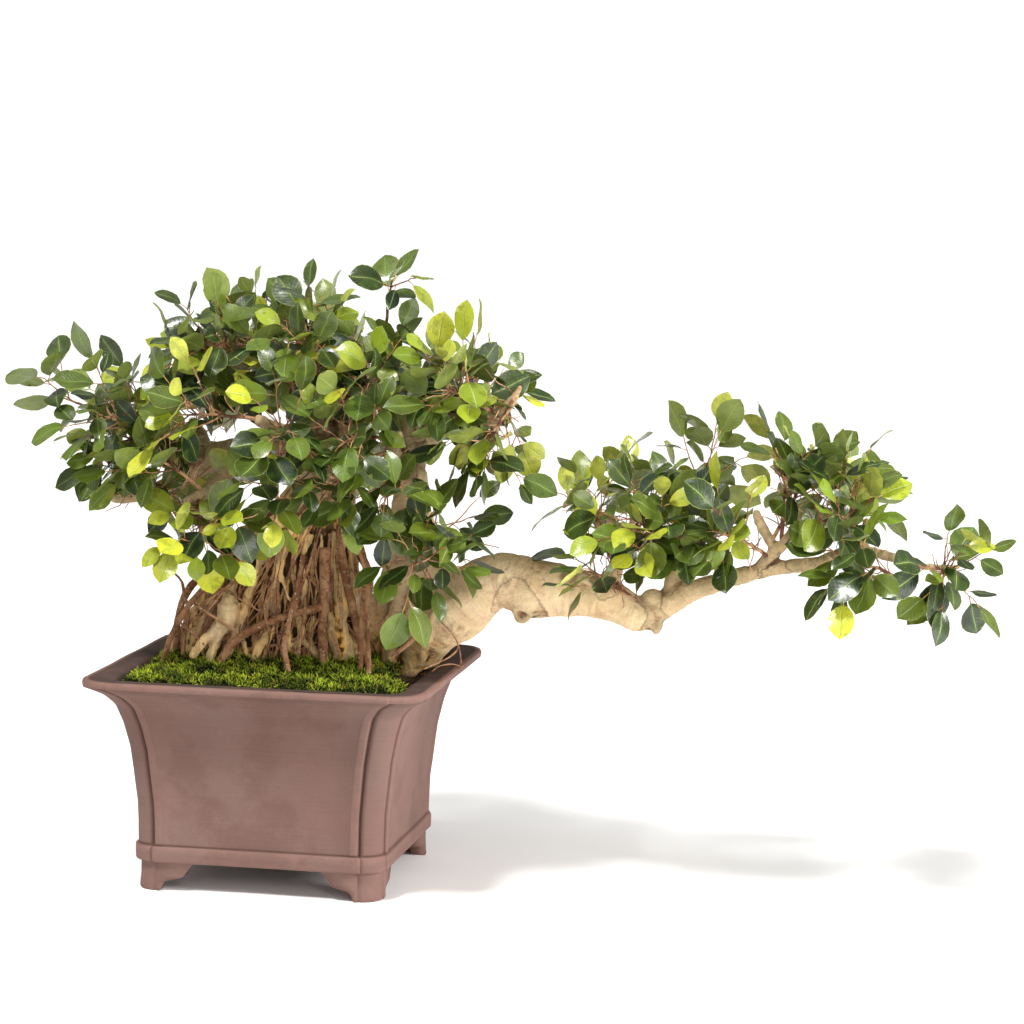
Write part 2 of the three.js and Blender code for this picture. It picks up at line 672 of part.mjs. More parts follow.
// A spray is one stem and the side shoots that fan out from it, each with its leaves.
function growSpray([limb, x, y, z, count = SHOOTS_PER_SPRAY], index) {
  const random = randomFrom(7919 * (index + 1));
  random();
  const tip = new THREE.Vector3(x, y, z);
  const start = springPoint(limb, tip);
  const reach = start.distanceTo(tip);
  const sway = sidewise(tip.clone().sub(start).normalize(), between(random, 0, 2 * Math.PI));
  const bend = start.clone().lerp(tip, 0.5)
    .addScaledVector(UP, SPRAY_LIFT * reach)
    .addScaledVector(sway, SPRAY_SWAY * reach);
  const stem = new THREE.QuadraticBezierCurve3(start, bend, tip);
  const outward = tip.clone().sub(start).setZ(0).normalize();
  const turn = between(random, 0, 2 * Math.PI);
  const shoots = [{ path: stem, from: 0, leaves: leavesOn(stem, STEM_BARE, outward, random) }];
  for (let i = 0; i < count; i += 1) {
    const from = THREE.MathUtils.lerp(...SHOOT_SPAN, i / (SHOOTS_PER_SPRAY - 1));
    const along = stem.getTangent(from);
    const heading = along.clone().multiplyScalar(Math.cos(SHOOT_ANGLE))
      .addScaledVector(sidewise(along, turn + i * GOLDEN_TURN), Math.sin(SHOOT_ANGLE))
      .addScaledVector(UP, SHOOT_RISE)
      .normalize();
    const [most, loss] = SHOOT_TAPER;
    const length = SHOOT_LENGTH * between(random, ...SHOOT_LENGTHS) * (most - loss * from);
    const base = stem.getPoint(from);
    const middle = base.clone().addScaledVector(heading, length * 0.5);
    const end = base.clone().addScaledVector(heading, length)
      .addScaledVector(UP, SHOOT_CURL * length);
    const path = new THREE.QuadraticBezierCurve3(base, middle, end);
    shoots.push({ path, from, leaves: leavesOn(path, SHOOT_BARE, outward, random) });
  }
  return shoots;
}

// Rings of a leaf, three-sided: its two edges and the keel under its midrib.
function leafRings({ root, heading, facing, length, sag }) {
  const edge = new THREE.Vector3().crossVectors(facing, heading)
    .multiplyScalar((LEAF_BREADTH * length) / Math.sin(Math.PI / 3));
  return LEAF_SECTIONS.map(([share, breadth, depth]) => {
    const keel = LEAF_THICKNESS * depth;
    return {
      middle: root.clone()
        .addScaledVector(heading, (PETIOLE_LENGTH + length) * share)
        .addScaledVector(facing, -sag * length * share ** 2 - keel / 3),
      across: edge.clone().multiplyScalar(breadth),
      over: facing.clone().multiplyScalar(-keel / 1.5),
    };
  });
}

function stemRadius(share) {
  return THREE.MathUtils.lerp(STEM_RADIUS, SHOOT_RADIUS, share);
}

function shootRadius(share) {
  return SHOOT_RADIUS * THREE.MathUtils.lerp(1, SHOOT_THINNING, share);
}

// Everything placed so far, searched by bounding box before the exact test. Each entry
// has its full shape, and the slim one that its own spray is tested against.
const placed = [];

function entryOf(full, slim, owner, shoot) {
  const { min, max } = full.boundingBox();
  const box = new THREE.Box3(vector(min), vector(max)).expandByScalar(LEAF_CLEARANCE);
  return { full, slim, owner, shoot, box };
}

// Keeps a shape if it stands clear of all others but those that it may touch.
function keepIfClear(entry, mayTouch) {
  const fits = placed.every((other) => {
    if (!other.box.intersectsBox(entry.box) || mayTouch(other)) return true;
    const gap = other.owner === entry.owner
      ? entry.slim.minGap(other.slim, LEAF_CLEARANCE)
      : entry.full.minGap(other.full, LEAF_CLEARANCE);
    return gap >= LEAF_CLEARANCE;
  });
  if (fits) placed.push(entry);
  return fits;
}

// A twig may touch the stem and shoots of its own spray.
function placeTwig(shoot, owner, shares, radiusAt) {
  const rings = ringsAlong(shoot.path, shares, radiusAt);
  shoot.lastRing = rings.at(-1);
  const solid = bar(3, rings);
  const entry = entryOf(solid, solid, owner, shoot);
  return keepIfClear(entry, (other) => other.owner === owner && other.shoot !== null);
}

// A blade may touch the shoot that it grows on.
function placeBlade(leaf, shoot, owner) {
  const full = leafOn(cornersOf(shoot.lastRing), leaf);
  const entry = entryOf(full, bar(3, leafRings(leaf), 'both'), owner, null);
  return keepIfClear(entry, (other) => other.shoot === shoot);
}

// Corners of a three-sided ring, as plain points.
function cornersOf({ middle, across, over }) {
  return [0, 1, 2].map((side) => {
    const angle = (side / 3) * 2 * Math.PI;
    const corner = middle.clone()
      .addScaledVector(across, Math.sin(angle))
      .addScaledVector(over, Math.cos(angle));
    return corner.toArray().map(Math.fround);
  });
}

// The long faces of a stretch of twig, any of which a leaf or a side shoot can stand on.
function longFaces(stretch, along) {
  const { numProp, vertProperties, triVerts } = stretch.getMesh();
  const faces = [];
  for (let i = 0; i < triVerts.length; i += 3) {
    const corners = [0, 1, 2].map((k) => {
      const first = triVerts[i + k] * numProp;
      return Array.from(vertProperties.slice(first, first + 3));
    });
    const [a, b, c] = corners.map(vector);
    const looks = b.sub(a).cross(c.sub(a)).normalize();
    if (Math.abs(looks.dot(along)) < END_FACE) faces.push({ corners, looks });
  }
  return faces;
}

// Takes the face that looks most along a heading.
function takeFace(faces, heading) {
  const best = faces.reduce((a, b) => (a.looks.dot(heading) > b.looks.dot(heading) ? a : b));
  faces.splice(faces.indexOf(best), 1);
  return best.corners;
}

// The first corner of a leaf's ring is its keel, which has run out where the blade narrows.
function leafOn(face, leaf) {
  const [, wide, narrow, end] = leafRings(leaf);
  const tip = end.middle.toArray().map(Math.fround);
  return Manifold.hull([...face, ...cornersOf(wide), ...cornersOf(narrow).slice(1), tip]);
}

// A run of convex stretches from one face, the end leaf on the last and the side leaves on
// the last stretch's long faces. It gives back its solids and the faces of each stretch.
function growOn(face, path, rings, [endLeaf, ...sideLeaves]) {
  let base = face;
  const solids = [];
  const faces = rings.map((ring) => {
    const corners = cornersOf(ring);
    const stretch = Manifold.hull([...base, ...corners]);
    solids.push(stretch);
    base = corners;
    return longFaces(stretch, path.getTangent(1));
  });
  solids.push(leafOn(base, endLeaf));
  for (const leaf of sideLeaves) {
    solids.push(leafOn(takeFace(faces.at(-1), leaf.heading), leaf));
  }
  return { solids, faces };
}

function fuseSpray(shoots) {
  const [stem, ...side] = shoots;
  const nodes = side.map(({ from }) => from).sort((a, b) => a - b);
  const shares = [...nodes.flatMap((from) => [from - NODE_HALF, from + NODE_HALF]), ...STEM_END];
  const [butt, ...rings] = ringsAlong(stem.path, [0, ...shares], stemRadius);
  const trunk = growOn(cornersOf(butt), stem.path, rings, stem.built);
  const branches = side.map(({ path, from, built }) => {
    const face = takeFace(trunk.faces[2 * nodes.indexOf(from) + 1], path.getTangent(0));
    return growOn(face, path, ringsAlong(path, SHOOT_END, shootRadius), built).solids;
  });
  return Manifold.union([...trunk.solids, ...branches.flat()]);
}

function makeSprays(keepClear) {
  for (const solid of keepClear) {
    placed.push(entryOf(solid, solid, null, null));
  }
  const sprays = SPRAYS.map((place, i) => ({ shoots: growSpray(place, i) }));
  for (const spray of sprays) {
    const [stem] = spray.shoots;
    placeTwig(stem, spray, [...STEM_BENDS, ...STEM_END], stemRadius);
    stem.built = stem.leaves.slice(-1);
    placeBlade(stem.built[0], stem, spray);
  }
  for (const spray of sprays) {
    let count = 0;
    for (const shoot of spray.shoots.slice(1)) {
      if (count === SHOOTS_BUILT) break;
      const endLeaf = shoot.leaves.at(-1);
      if (placeTwig(shoot, spray, [SHOOT_FOOT, ...SHOOT_END], shootRadius)) {
        if (placeBlade(endLeaf, shoot, spray)) {
          shoot.built = [endLeaf];
          count += 1;
        }
      }
    }
    spray.shoots = spray.shoots.filter((shoot) => shoot.built);
  }
  for (const spray of sprays) {
    for (const shoot of spray.shoots) {
      const most = shoot === spray.shoots[0] ? STEM_LEAVES_BUILT : SHOOT_LEAVES_BUILT;
      const sideLeaves = shoot.leaves.slice(-1 - SIDE_LEAVES_TRIED, -1).reverse();
      for (const leaf of sideLeaves) {
        if (shoot.built.length < most && placeBlade(leaf, shoot, spray)) {
          shoot.built.push(leaf);
        }
      }
    }
  }
  return sprays.map(({ shoots }) => largestPiece(fuseSpray(shoots).subtract(keepClear[0])));
}

const tree = makeTree();
const treeClearance = makeTree(SEAT_GAP + 0.1);
const pot = makePot();
const rootHoles = makeRootHoles();
const soil = largestPiece(makeSoil().subtract(rootHoles));
const moss = largestPiece(makeMoss().subtract(rootHoles));
const sprays = makeSprays([treeClearance, moss, pot]);

const bonsai = new THREE.Group();
bonsai.add(meshOf('pot', pot, MATERIALS.clay));
bonsai.add(meshOf('drain_screen', makeScreen(), MATERIALS.plastic));
bonsai.add(meshOf('drainage_gravel', makeGravel(), MATERIALS.gravel));
bonsai.add(meshOf('soil', soil, MATERIALS.soil));
bonsai.add(meshOf('moss', moss, MATERIALS.moss));
bonsai.add(meshOf('tree_wood', tree, MATERIALS.bark));
sprays.forEach((solid, i) => {
  bonsai.add(meshOf(`leafy_spray_${String(i + 1).padStart(2, '0')}`, solid, MATERIALS.leaf));
});

// The part's origin is the middle of its bounding box, at the underside of the feet.
const bounds = new THREE.Box3().setFromObject(bonsai);
const middle = bounds.getCenter(new THREE.Vector3());
for (const mesh of bonsai.children) mesh.geometry.translate(-middle.x, -middle.y, -bounds.min.z);

export default bonsai;
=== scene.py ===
"""A Chinese banyan bonsai in a square clay pot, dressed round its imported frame."""

import math
import random

import bmesh
import bpy
import numpy as np
from mathutils import Matrix, Vector, noise
from mathutils.bvhtree import BVHTree
from mathutils.kdtree import KDTree


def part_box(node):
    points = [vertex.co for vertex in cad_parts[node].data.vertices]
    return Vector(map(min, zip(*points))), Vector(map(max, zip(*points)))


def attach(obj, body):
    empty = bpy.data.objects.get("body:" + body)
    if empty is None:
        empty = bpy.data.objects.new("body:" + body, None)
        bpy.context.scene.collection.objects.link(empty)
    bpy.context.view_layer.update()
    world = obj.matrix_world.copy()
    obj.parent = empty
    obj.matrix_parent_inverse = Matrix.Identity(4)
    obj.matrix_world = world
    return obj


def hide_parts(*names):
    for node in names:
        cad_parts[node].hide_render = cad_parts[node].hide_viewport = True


bl_info = {
    "name": "Banyan bonsai",
    "version": (1, 0, 0),
    "blender": (4, 5, 0),
    "location": "3D View > Sidebar > Bonsai",
    "description": "Dresses a banyan bonsai and its clay pot with bark, leaves, moss and clay",
    "category": "Add Mesh",
}

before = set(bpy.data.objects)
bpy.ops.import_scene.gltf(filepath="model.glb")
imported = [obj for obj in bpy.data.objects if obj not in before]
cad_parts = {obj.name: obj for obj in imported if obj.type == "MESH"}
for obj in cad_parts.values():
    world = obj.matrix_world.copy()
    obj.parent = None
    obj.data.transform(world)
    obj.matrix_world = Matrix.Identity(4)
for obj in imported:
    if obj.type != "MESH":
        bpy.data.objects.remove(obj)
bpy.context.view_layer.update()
MM = 0.001
BODY = "root"
UP = Vector((0, 0, 1))
GOLDEN_TURN = math.radians(137.5)
HALF_TURN = 3.1
# Starts of the random numbers.
MASS_SEED, FINE_ROOT_SEED, STONE_SEED, MOSS_SEED, BLADE_SEED = 12, 44, 9, 70, 31
SPRAY_SEED, TWIG_SEED = 7919, 500
# Points carry plain numbers, apart from these marks.
MARK_KINDS = {"turn": "FLOAT_VECTOR", "form": "INT"}


def middle_of(node):
    """The middle of a node's box in plan, at floor level."""
    low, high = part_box(node)
    return Vector(((low.x + high.x) / 2, (low.y + high.y) / 2, 0))


# The routes below are in millimetres from the middle of the pot's footprint.
POT_MIDDLE = middle_of("pot")
POT_LOBE = 0.175
POT_GROOVE = 3.2
# Points along a pilaster's plan, and spans along a panel's.
PILASTER_POINTS, PANEL_SPANS = 9, 10
HOLLOW_RADIUS = 16
POT_UNDERSIDE = 28
POT_FLOOR_TOP = 39
DRAIN_HOLE_RADIUS = 17
# A dark patch on the rim's top, near its front edge: its middle, and half its length and depth.
RIM_DARK_PATCH = (69, -163.5, 208.5)
RIM_DARK_PATCH_SIZE = (26, 3.6)
# The rim's sharp outer edge is beyond this half-width.
RIM_EDGE = 166
# Height and half-width of the outer wall, from the underside to the rim.
POT_WALL = [
    (28, 124), (31, 126.8), (43, 126.8), (45.5, 124.4), (84, 125.2), (138, 131.5),
    (165, 137.6), (184, 144), (195, 154), (202, 166), (204, 170), (211, 170),
]
# Height and half-width of the moulded band round the pot's base.
BAND = [
    (28, 122), (28.3, 124.4), (29.2, 126), (30.6, 126.8), (36, 127), (42.4, 127), (43.6, 126.5),
    (44.2, 125.4), (44.7, 124.1),
]
# Height and half-width of the hollow, from the floor to the mouth.
POT_HOLLOW = [(39, 104), (60, 110), (150, 120), (186, 129), (198, 138), (212, 142)]
# Height, length along each side and outward flare of a bracket foot.
FOOT = [(0, 26, 1.2), (9, 29, 0.6), (14, 47, 0.2), (30, 60, 0)]
FOOT_HALF_WIDTH = 122.2
FOOT_THICKNESS = 16
GRAVEL_TOP = 72
SOIL_EDGE = 199
SOIL_CROWN = 213
SOIL_HALF_WIDTH = 138.0
MOSS_THICKNESS = 7
MOSS_SHOOTS_PER_M2 = 400000.0
# No moss stands inside these feet of the mass and the buttress: middle x and y, half-widths.
ROOT_FEET = [(-20, 12, 90, 51), (112, 34, 24, 24)]

# Root mass: height, middle x, middle y and the two half-widths of each level.
ROOT_MASS = [
    (188, -20, 12, 92, 52), (222, -21, 12, 95, 55), (258, -15, 12, 82, 50),
    (292, -8, 12, 71, 46), (322, -4, 12, 63, 43), (346, 6, 12, 52, 39),
    (370, 22, 13, 39, 33), (398, 34, 14, 31, 28), (434, 38, 16, 25, 23),
]
# Limbs: points x, y, z and the radius there.
LIMBS = {
    "right_stem": [(112, 38, 192, 20), (112, 38, 212, 24), (121, 34, 230, 30), (133, 26, 256, 36),
        (132, 22, 288, 32), (124, 16, 330, 24), (120, 10, 380, 19), (122, 3, 430, 15),
        (128, -11, 455, 12)],
    "saddle": [(56, 18, 274, 24), (86, 28, 246, 19), (114, 34, 236, 22)],
    "cascade": [(104, 30, 236, 27), (144, 16, 257, 34), (172, 6, 276, 34), (192, 2, 293, 29),
        (214, 0, 305, 26), (230, -2, 303, 28), (248, -4, 298, 29), (285, -6, 296, 25),
        (320, -6, 291, 20), (354, -4, 277, 17), (377, 0, 285, 13), (402, 4, 299, 11),
        (431, 6, 310, 9), (470, 6, 323, 8), (512, 4, 330, 7)],
    "cascade_tip": [(500, 4, 329, 7), (528, 2, 334, 6.5), (559, -4, 348, 5.5), (591, -8, 345, 4.6),
        (625, -12, 336, 3.6), (662, -14, 337, 2.4)],
    "tip_twig": [(545, -2, 342, 5), (562, -5, 330, 4.2), (579, -8, 322, 3.6), (604, -10, 322, 3)],
    "left_limb": [(34, 11, 402, 24), (8, 2, 420, 17), (-15, -6, 425, 16), (-50, -10, 422, 15),
        (-90, -13, 414, 14), (-115, -15, 421, 12.5), (-133, -19, 440, 10), (-148, -25, 452, 7.5),
        (-180, -30, 452, 5)],
    "left_low": [(-82, -11, 412, 11), (-107, -25, 396, 8.5), (-135, -32, 383, 7),
        (-168, -40, 375, 5.5), (-200, -48, 396, 4)],
    "left_front": [(-92, -13, 414, 11), (-102, -44, 430, 7), (-112, -66, 440, 5)],
    "left_rise": [(-128, -17, 434, 9), (-124, -8, 461, 7.5), (-114, 2, 488, 6),
        (-96, 6, 511, 4.5)],
    "left_back": [(-92, -10, 414, 11), (-100, 27, 428, 9), (-116, 63, 437, 7), (-128, 91, 443, 5)],
    "leader": [(38, 14, 404, 26), (50, 19, 434, 20), (56, 24, 456, 16.5), (67, 28, 478, 13),
        (82, 29, 501, 9), (88, 31, 523, 5)],
    "middle": [(40, 15, 420, 20), (16, 6, 458, 13), (-8, -3, 482, 10), (-26, -8, 505, 7),
        (-32, -10, 525, 5)],
    "back": [(42, 17, 424, 18), (30, 55, 449, 12), (8, 86, 467, 9), (-18, 106, 482, 6)],
    "front_rise": [(56, 24, 458, 13), (52, -17, 476, 7.5), (44, -49, 492, 5)],
    "back_rise": [(62, 27, 470, 11), (56, 63, 486, 6.5), (44, 87, 498, 5)],
    "back_right": [(114, 10, 392, 13), (124, 49, 424, 10), (138, 82, 445, 7), (146, 103, 463, 5)],
    "front": [(36, 11, 416, 16), (22, -38, 436, 11), (8, -72, 449, 8.5), (-8, -99, 463, 6)],
    "front_right": [(114, 6, 402, 13), (112, -36, 426, 9.5), (118, -66, 439, 7),
        (128, -89, 452, 5)],
    "right_limb": [(124, -6, 446, 13), (153, -19, 467, 11.5), (182, -27, 461, 10),
        (208, -31, 466, 8), (228, -36, 483, 5), (237, -38, 498, 3)],
    "fork": [(122, 0, 437, 12), (132, 8, 466, 10), (140, 12, 492, 8), (148, 17, 517, 5.5)],
    "low_front": [(-46, -8, 420, 11), (-56, -44, 402, 8), (-68, -74, 388, 6),
        (-80, -93, 382, 4.5)],
    "low_right": [(108, 11, 340, 15), (130, -19, 350, 9), (146, -30, 352, 6.5),
        (160, -38, 352, 4.5)],
    "pad_first": [(318, -6, 292, 12), (332, -10, 330, 7.5), (328, -10, 354, 6),
        (322, -8, 378, 4.5)],
    "pad_rear": [(332, -10, 333, 7), (334, 16, 344, 5.5), (332, 34, 354, 4)],
    "pad_second": [(384, 2, 290, 10), (386, 14, 330, 7), (392, 16, 359, 6), (402, 12, 386, 4.5)],
    "pad_front": [(386, 8, 333, 7), (398, -14, 349, 5.5), (414, -30, 363, 4)],
    "pad_third": [(470, 6, 323, 8.5), (484, 4, 342, 7), (500, 4, 359, 6), (506, 2, 380, 4.5)],
    "pad_back": [(486, 4, 344, 6.5), (470, 26, 361, 5.5), (462, 38, 376, 4)],
    "pad_fourth": [(562, -4, 342, 6.5), (572, 2, 359, 5.5), (572, 6, 375, 4)],
    "knee": [(366, -3, 290, 12), (370, -4, 272, 9), (371, -4, 262, 5)],
    "burl": [(236, -8, 292, 17), (238, -14, 280, 13), (239, -16, 271, 7)],
}
# Thicker aerial roots that reach down into the soil.
AERIAL_ROOTS = [
    [(22, -34, 324, 2.8), (22, -48, 302, 3), (19, -54, 285, 2.8), (16, -59, 269, 2.8),
     (14, -64, 254, 2.9), (12, -70, 239, 3), (16, -76, 226, 3.1), (22, -84, 208, 3.2)],
    [(40, -18, 330, 6), (44, -34, 285, 5.2), (44, -42, 240, 4.8), (50, -46, 200, 4.6)],
    [(46, 0, 350, 5.2), (66, -24, 290, 4.3), (82, -34, 240, 3.8), (98, -44, 200, 3.4)],
    [(50, 4, 366, 4.3), (84, -34, 322, 2.9), (84, -44, 262, 2.8), (84, -50, 200, 2.8)],
    [(44, -44, 276, 4.3), (4, -54, 264, 4), (-40, -58, 240, 4.3), (-66, -54, 200, 4.3)],
    [(-52, 4, 322, 5.2), (-98, -16, 286, 3.9), (-112, -14, 250, 3.4), (-113, -10, 200, 3.4)],
    [(-40, -6, 318, 4.3), (-84, -38, 282, 3.1), (-112, -36, 238, 2.9), (-124, -30, 204, 2.9)],
    [(16, 40, 326, 5.2), (-2, 76, 286, 4.3), (-20, 84, 240, 3.9), (-28, 88, 200, 3.9)],
    [(40, 28, 346, 5.2), (64, 72, 296, 4.3), (58, 84, 246, 3.9), (52, 90, 200, 3.9)],
]
# Each leafy spray's limb and the place of its tip.
SPRAYS = [
    ("left_rise", -43, -42, 522), ("middle", 10, -53, 520), ("leader", 16, -7, 518),
    ("leader", 84, -20, 508), ("middle", -57, 46, 532), ("leader", 14, 63, 522),
    ("left_rise", -80, -32, 492), ("middle", -88, -68, 528), ("leader", 108, -34, 598, 1),
    ("front_rise", 38, -94, 541), ("front_rise", 106, -78, 478), ("fork", 178, -39, 487),
    ("fork", 126, 75, 476), ("back_rise", -2, 153, 491), ("left_rise", -88, 89, 506),
    ("left_limb", -226, -30, 472, 2), ("left_back", -166, 24, 457),
    ("left_front", -165, -111, 460), ("front", -74, -139, 469), ("front", 38, -148, 456),
    ("front_right", 79, -133, 443), ("right_limb", 169, -93, 497), ("right_limb", 190, -19, 446),
    ("back_right", 198, 64, 492), ("back", 75, 139, 460), ("back", -78, 156, 476),
    ("left_low", -167, -38, 439), ("left_low", -150, -84, 418), ("low_front", -117, -124, 427),
    ("front", 16, -125, 371), ("front_right", 54, -99, 387), ("front_right", 116, -94, 384),
    ("right_limb", 196, -47, 423), ("back_right", 61, 99, 425), ("left_low", -94, -53, 373),
    ("low_front", -61, -126, 336), ("low_right", 147, -92, 322), ("low_right", 186, -53, 352),
    ("left_back", -140, 107, 378), ("pad_first", 299, 24, 389), ("cascade", 308, -40, 324),
    ("pad_rear", 346, 82, 358), ("pad_first", 368, -10, 380), ("pad_front", 358, -72, 370),
    ("pad_second", 402, -40, 356), ("pad_second", 412, 68, 408), ("pad_third", 429, -54, 367),
    ("pad_back", 507, 48, 411), ("pad_third", 500, -2, 428), ("pad_third", 558, -41, 379),
    ("pad_fourth", 553, 61, 374), ("pad_fourth", 546, 0, 406), ("tip_twig", 560, -50, 334),
    ("cascade_tip", 652, -28, 330),
]
SPRAY_REACH = 80
SHOOTS_PER_SPRAY = 7
SHOOT_LENGTH = 46
SHOOT_ANGLE = math.radians(52)
LEAF_SPACING = 8
LEAF_CROWDING = 0.6
LEAF_LENGTH = 36
PETIOLE_SHARE = 0.24
# A leaf comes no closer than this, in metres, to the wood, the pot and the moss.
LEAF_CLEARANCE = 0.004
# Radii at the start and end, how young the end is, and points along: the stem, then a shoot.
STEM_MAKE, SHOOT_MAKE = (2.3, 0.8, 0.5, 12), (0.95, 0.5, 1, 7)


def tone(red, green, blue):
    """A colour read off a colour chart from 0 to 255, as linear light."""
    parts = [value / 255 for value in (red, green, blue)]
    return tuple(p / 12.92 if p < 0.04045 else ((p + 0.055) / 1.055) ** 2.4 for p in parts)


def placed(x, y, z):
    """A point of the tree or pot, in metres in the frame."""
    return POT_MIDDLE + Vector((x, y, z)) * MM


def read_row(rows, key):
    """Straight-line reading of rows of (key, values...) at a key."""
    keys = [row[0] for row in rows]
    return [float(np.interp(key, keys, [row[i] for row in rows])) for i in range(1, len(rows[0]))]


def noisy(point, scale, seed=0.0):
    """Smooth noise from -1 to 1 over a point in millimetres."""
    return noise.noise(Vector(point) / scale + Vector((seed, seed * 1.7, -seed)))


class Line:
    """A line through space: a place on it is a share of the way from its start to its end."""

    spans = 60

    def along(self, share):
        """The way the line runs at a place."""
        low, high = max(share - 1e-4, 0), min(share + 1e-4, 1)
        return (self.at(high) - self.at(low)).normalized()

    def length(self):
        points = [self.at(i / self.spans) for i in range(self.spans + 1)]
        return sum((b - a).length for a, b in zip(points, points[1:]))


class Route(Line):
    """A smooth line through points in millimetres, with a thickness at each."""

    def __init__(self, rows):
        self.points = [Vector(row[:3]) for row in rows]
        self.radii = [row[3] for row in rows]

    def _stretch(self, share):
        """The stretch between two points that a place is on, and how far along it."""
        last = len(self.points) - 1
        place = min(max(share, 0.0), 1.0) * last
        index = min(int(place), last - 1)
        return index, place - index

    def at(self, share):
        index, weight = self._stretch(share)
        pts = self.points
        p1, p2 = pts[index], pts[index + 1]
        p0 = pts[index - 1] if index > 0 else pts[0] * 2 - pts[1]
        p3 = pts[index + 2] if index + 2 < len(pts) else pts[-1] * 2 - pts[-2]
        d0, d1, d2 = (math.sqrt((b - a).length) for a, b in ((p0, p1), (p1, p2), (p2, p3)))
        leave = ((p1 - p0) / d0 - (p2 - p0) / (d0 + d1) + (p2 - p1) / d1) * d1
        arrive = ((p2 - p1) / d1 - (p3 - p1) / (d1 + d2) + (p3 - p2) / d2) * d1
        square, cube = weight ** 2, weight ** 3
        return (p1 + leave * weight + (p1 * -3 + p2 * 3 - leave * 2 - arrive) * square
                + (p1 * 2 - p2 * 2 + leave + arrive) * cube)

    def radius(self, share):
        index, weight = self._stretch(share)
        soft = weight * weight * (3 - 2 * weight)
        return self.radii[index] + (self.radii[index + 1] - self.radii[index]) * soft


class Arc(Line):
    """A bent line from a start to an end, pulled towards a third point."""

    spans = 200

    def __init__(self, start, bend, end):
        self.start, self.bend, self.end = start, bend, end

    def at(self, share):
        rest = 1 - share
        return self.start * rest ** 2 + self.bend * (2 * rest * share) + self.end * share ** 2


class Shape:
    """Points in millimetres and faces, gathered into one piece."""

    def __init__(self, points=(), faces=()):
        self.points = list(points)
        self.faces = list(faces)

    def bridge(self, low, high, turned=False):
        """Joins two rings of point numbers, by faces that look the other way when turned."""
        for k in range(len(low)):
            pair = (k, (k + 1) % len(low))
            one, two = reversed(pair) if turned else pair
            self.faces.append((low[one], low[two], high[two], high[one]))

    def fan(self, ring, hub, turned=False):
        """Closes a ring of point numbers round one more point."""
        for k in range(len(ring)):
            pair = (ring[k], ring[(k + 1) % len(ring)])
            self.faces.append((len(self.points), *(reversed(pair) if turned else pair)))
        self.points.append(hub)

    def add_rings(self, rings, closed_ends=True):
        """Skins rings of equal size, each a list of points, with fans over the two ends."""
        numbers = []
        for ring in rings:
            first = len(self.points)
            numbers.append(range(first, first + len(ring)))
            self.points.extend(ring)
        for low, high in zip(numbers, numbers[1:]):
            self.bridge(low, high)
        if closed_ends:
            for end, turned in ((0, True), (-1, False)):
                self.fan(numbers[end], sum(rings[end], Vector()) / len(rings[end]), turned)
        return numbers

    def add_outward(self, rings):
        """Skins rings so that their faces look outwards."""
        low, high = rings[:2]
        normal = (low[1] - low[0]).cross(high[0] - low[0])
        inside_out = normal.dot(low[0] - sum(low, Vector()) / len(low)) < 0
        self.add_rings([ring[::-1] for ring in rings] if inside_out else rings)

    def piece(self, name, finish):
        """Makes the object, in metres, in the frame."""
        mesh = bpy.data.meshes.new(name)
        mesh.from_pydata([tuple(placed(*point)) for point in self.points], [], self.faces)
        return finished_object(name, mesh, finish)


def linked(name, data):
    """A new object in the scene."""
    item = bpy.data.objects.new(name, data)
    bpy.context.scene.collection.objects.link(item)
    return item


def finished_object(name, mesh, finish, smooth=True):
    """A mesh put into the scene with the finish of that name."""
    mesh.update()
    mesh.validate()
    mesh.materials.append(finish_named(finish))
    if smooth:
        mesh.shade_smooth()
    return linked(name, mesh)


def item_values(items, key, width, kind=np.float32):
    """One value of every item of a mesh, as rows of that width."""
    flat = np.empty(len(items) * width, kind)
    items.foreach_get(key, flat)
    return flat.reshape(-1, width)


def coordinates(mesh):
    return item_values(mesh.vertices, "co", 3).astype(float)


def normals_of(mesh):
    return item_values(mesh.vertices, "normal", 3).astype(float)


def mark_points(mesh, name, values):
    """Gives every point of a mesh a value."""
    kind = MARK_KINDS.get(name, "FLOAT")
    attribute = mesh.attributes.new(name, kind, "POINT")
    key = "vector" if kind == "FLOAT_VECTOR" else "value"
    attribute.data.foreach_set(key, np.asarray(values).ravel())


def marked_piece(name, points, edges, **marks):
    """Points in millimetres and edges between them, with the values that they carry."""
    mesh = bpy.data.meshes.new(name)
    mesh.from_pydata([tuple(placed(*point)) for point in points], edges, [])
    for mark, values in marks.items():
        mark_points(mesh, mark, values)
    return linked(name, mesh)


def tube_rings(points, radii, sides, lumps, seed):
    """Rings round a run of points, each turned as little as possible from the last."""
    rings = []
    across = Vector((0.31, 0.87, 0.38))
    last = len(points) - 1
    for i, (point, radius) in enumerate(zip(points, radii)):
        along = (points[min(i + 1, last)] - points[max(i - 1, 0)]).normalized()
        across = (across - along * across.dot(along)).normalized()
        over = along.cross(across)
        ring = []
        for k in range(sides):
            angle = 2 * math.pi * k / sides
            out = across * math.cos(angle) + over * math.sin(angle)
            swell = 1 + lumps * noisy(point + out * radius, 2.5 * radius + 4, seed)
            ring.append(point + out * (radius * swell))
        rings.append(ring)
    return rings


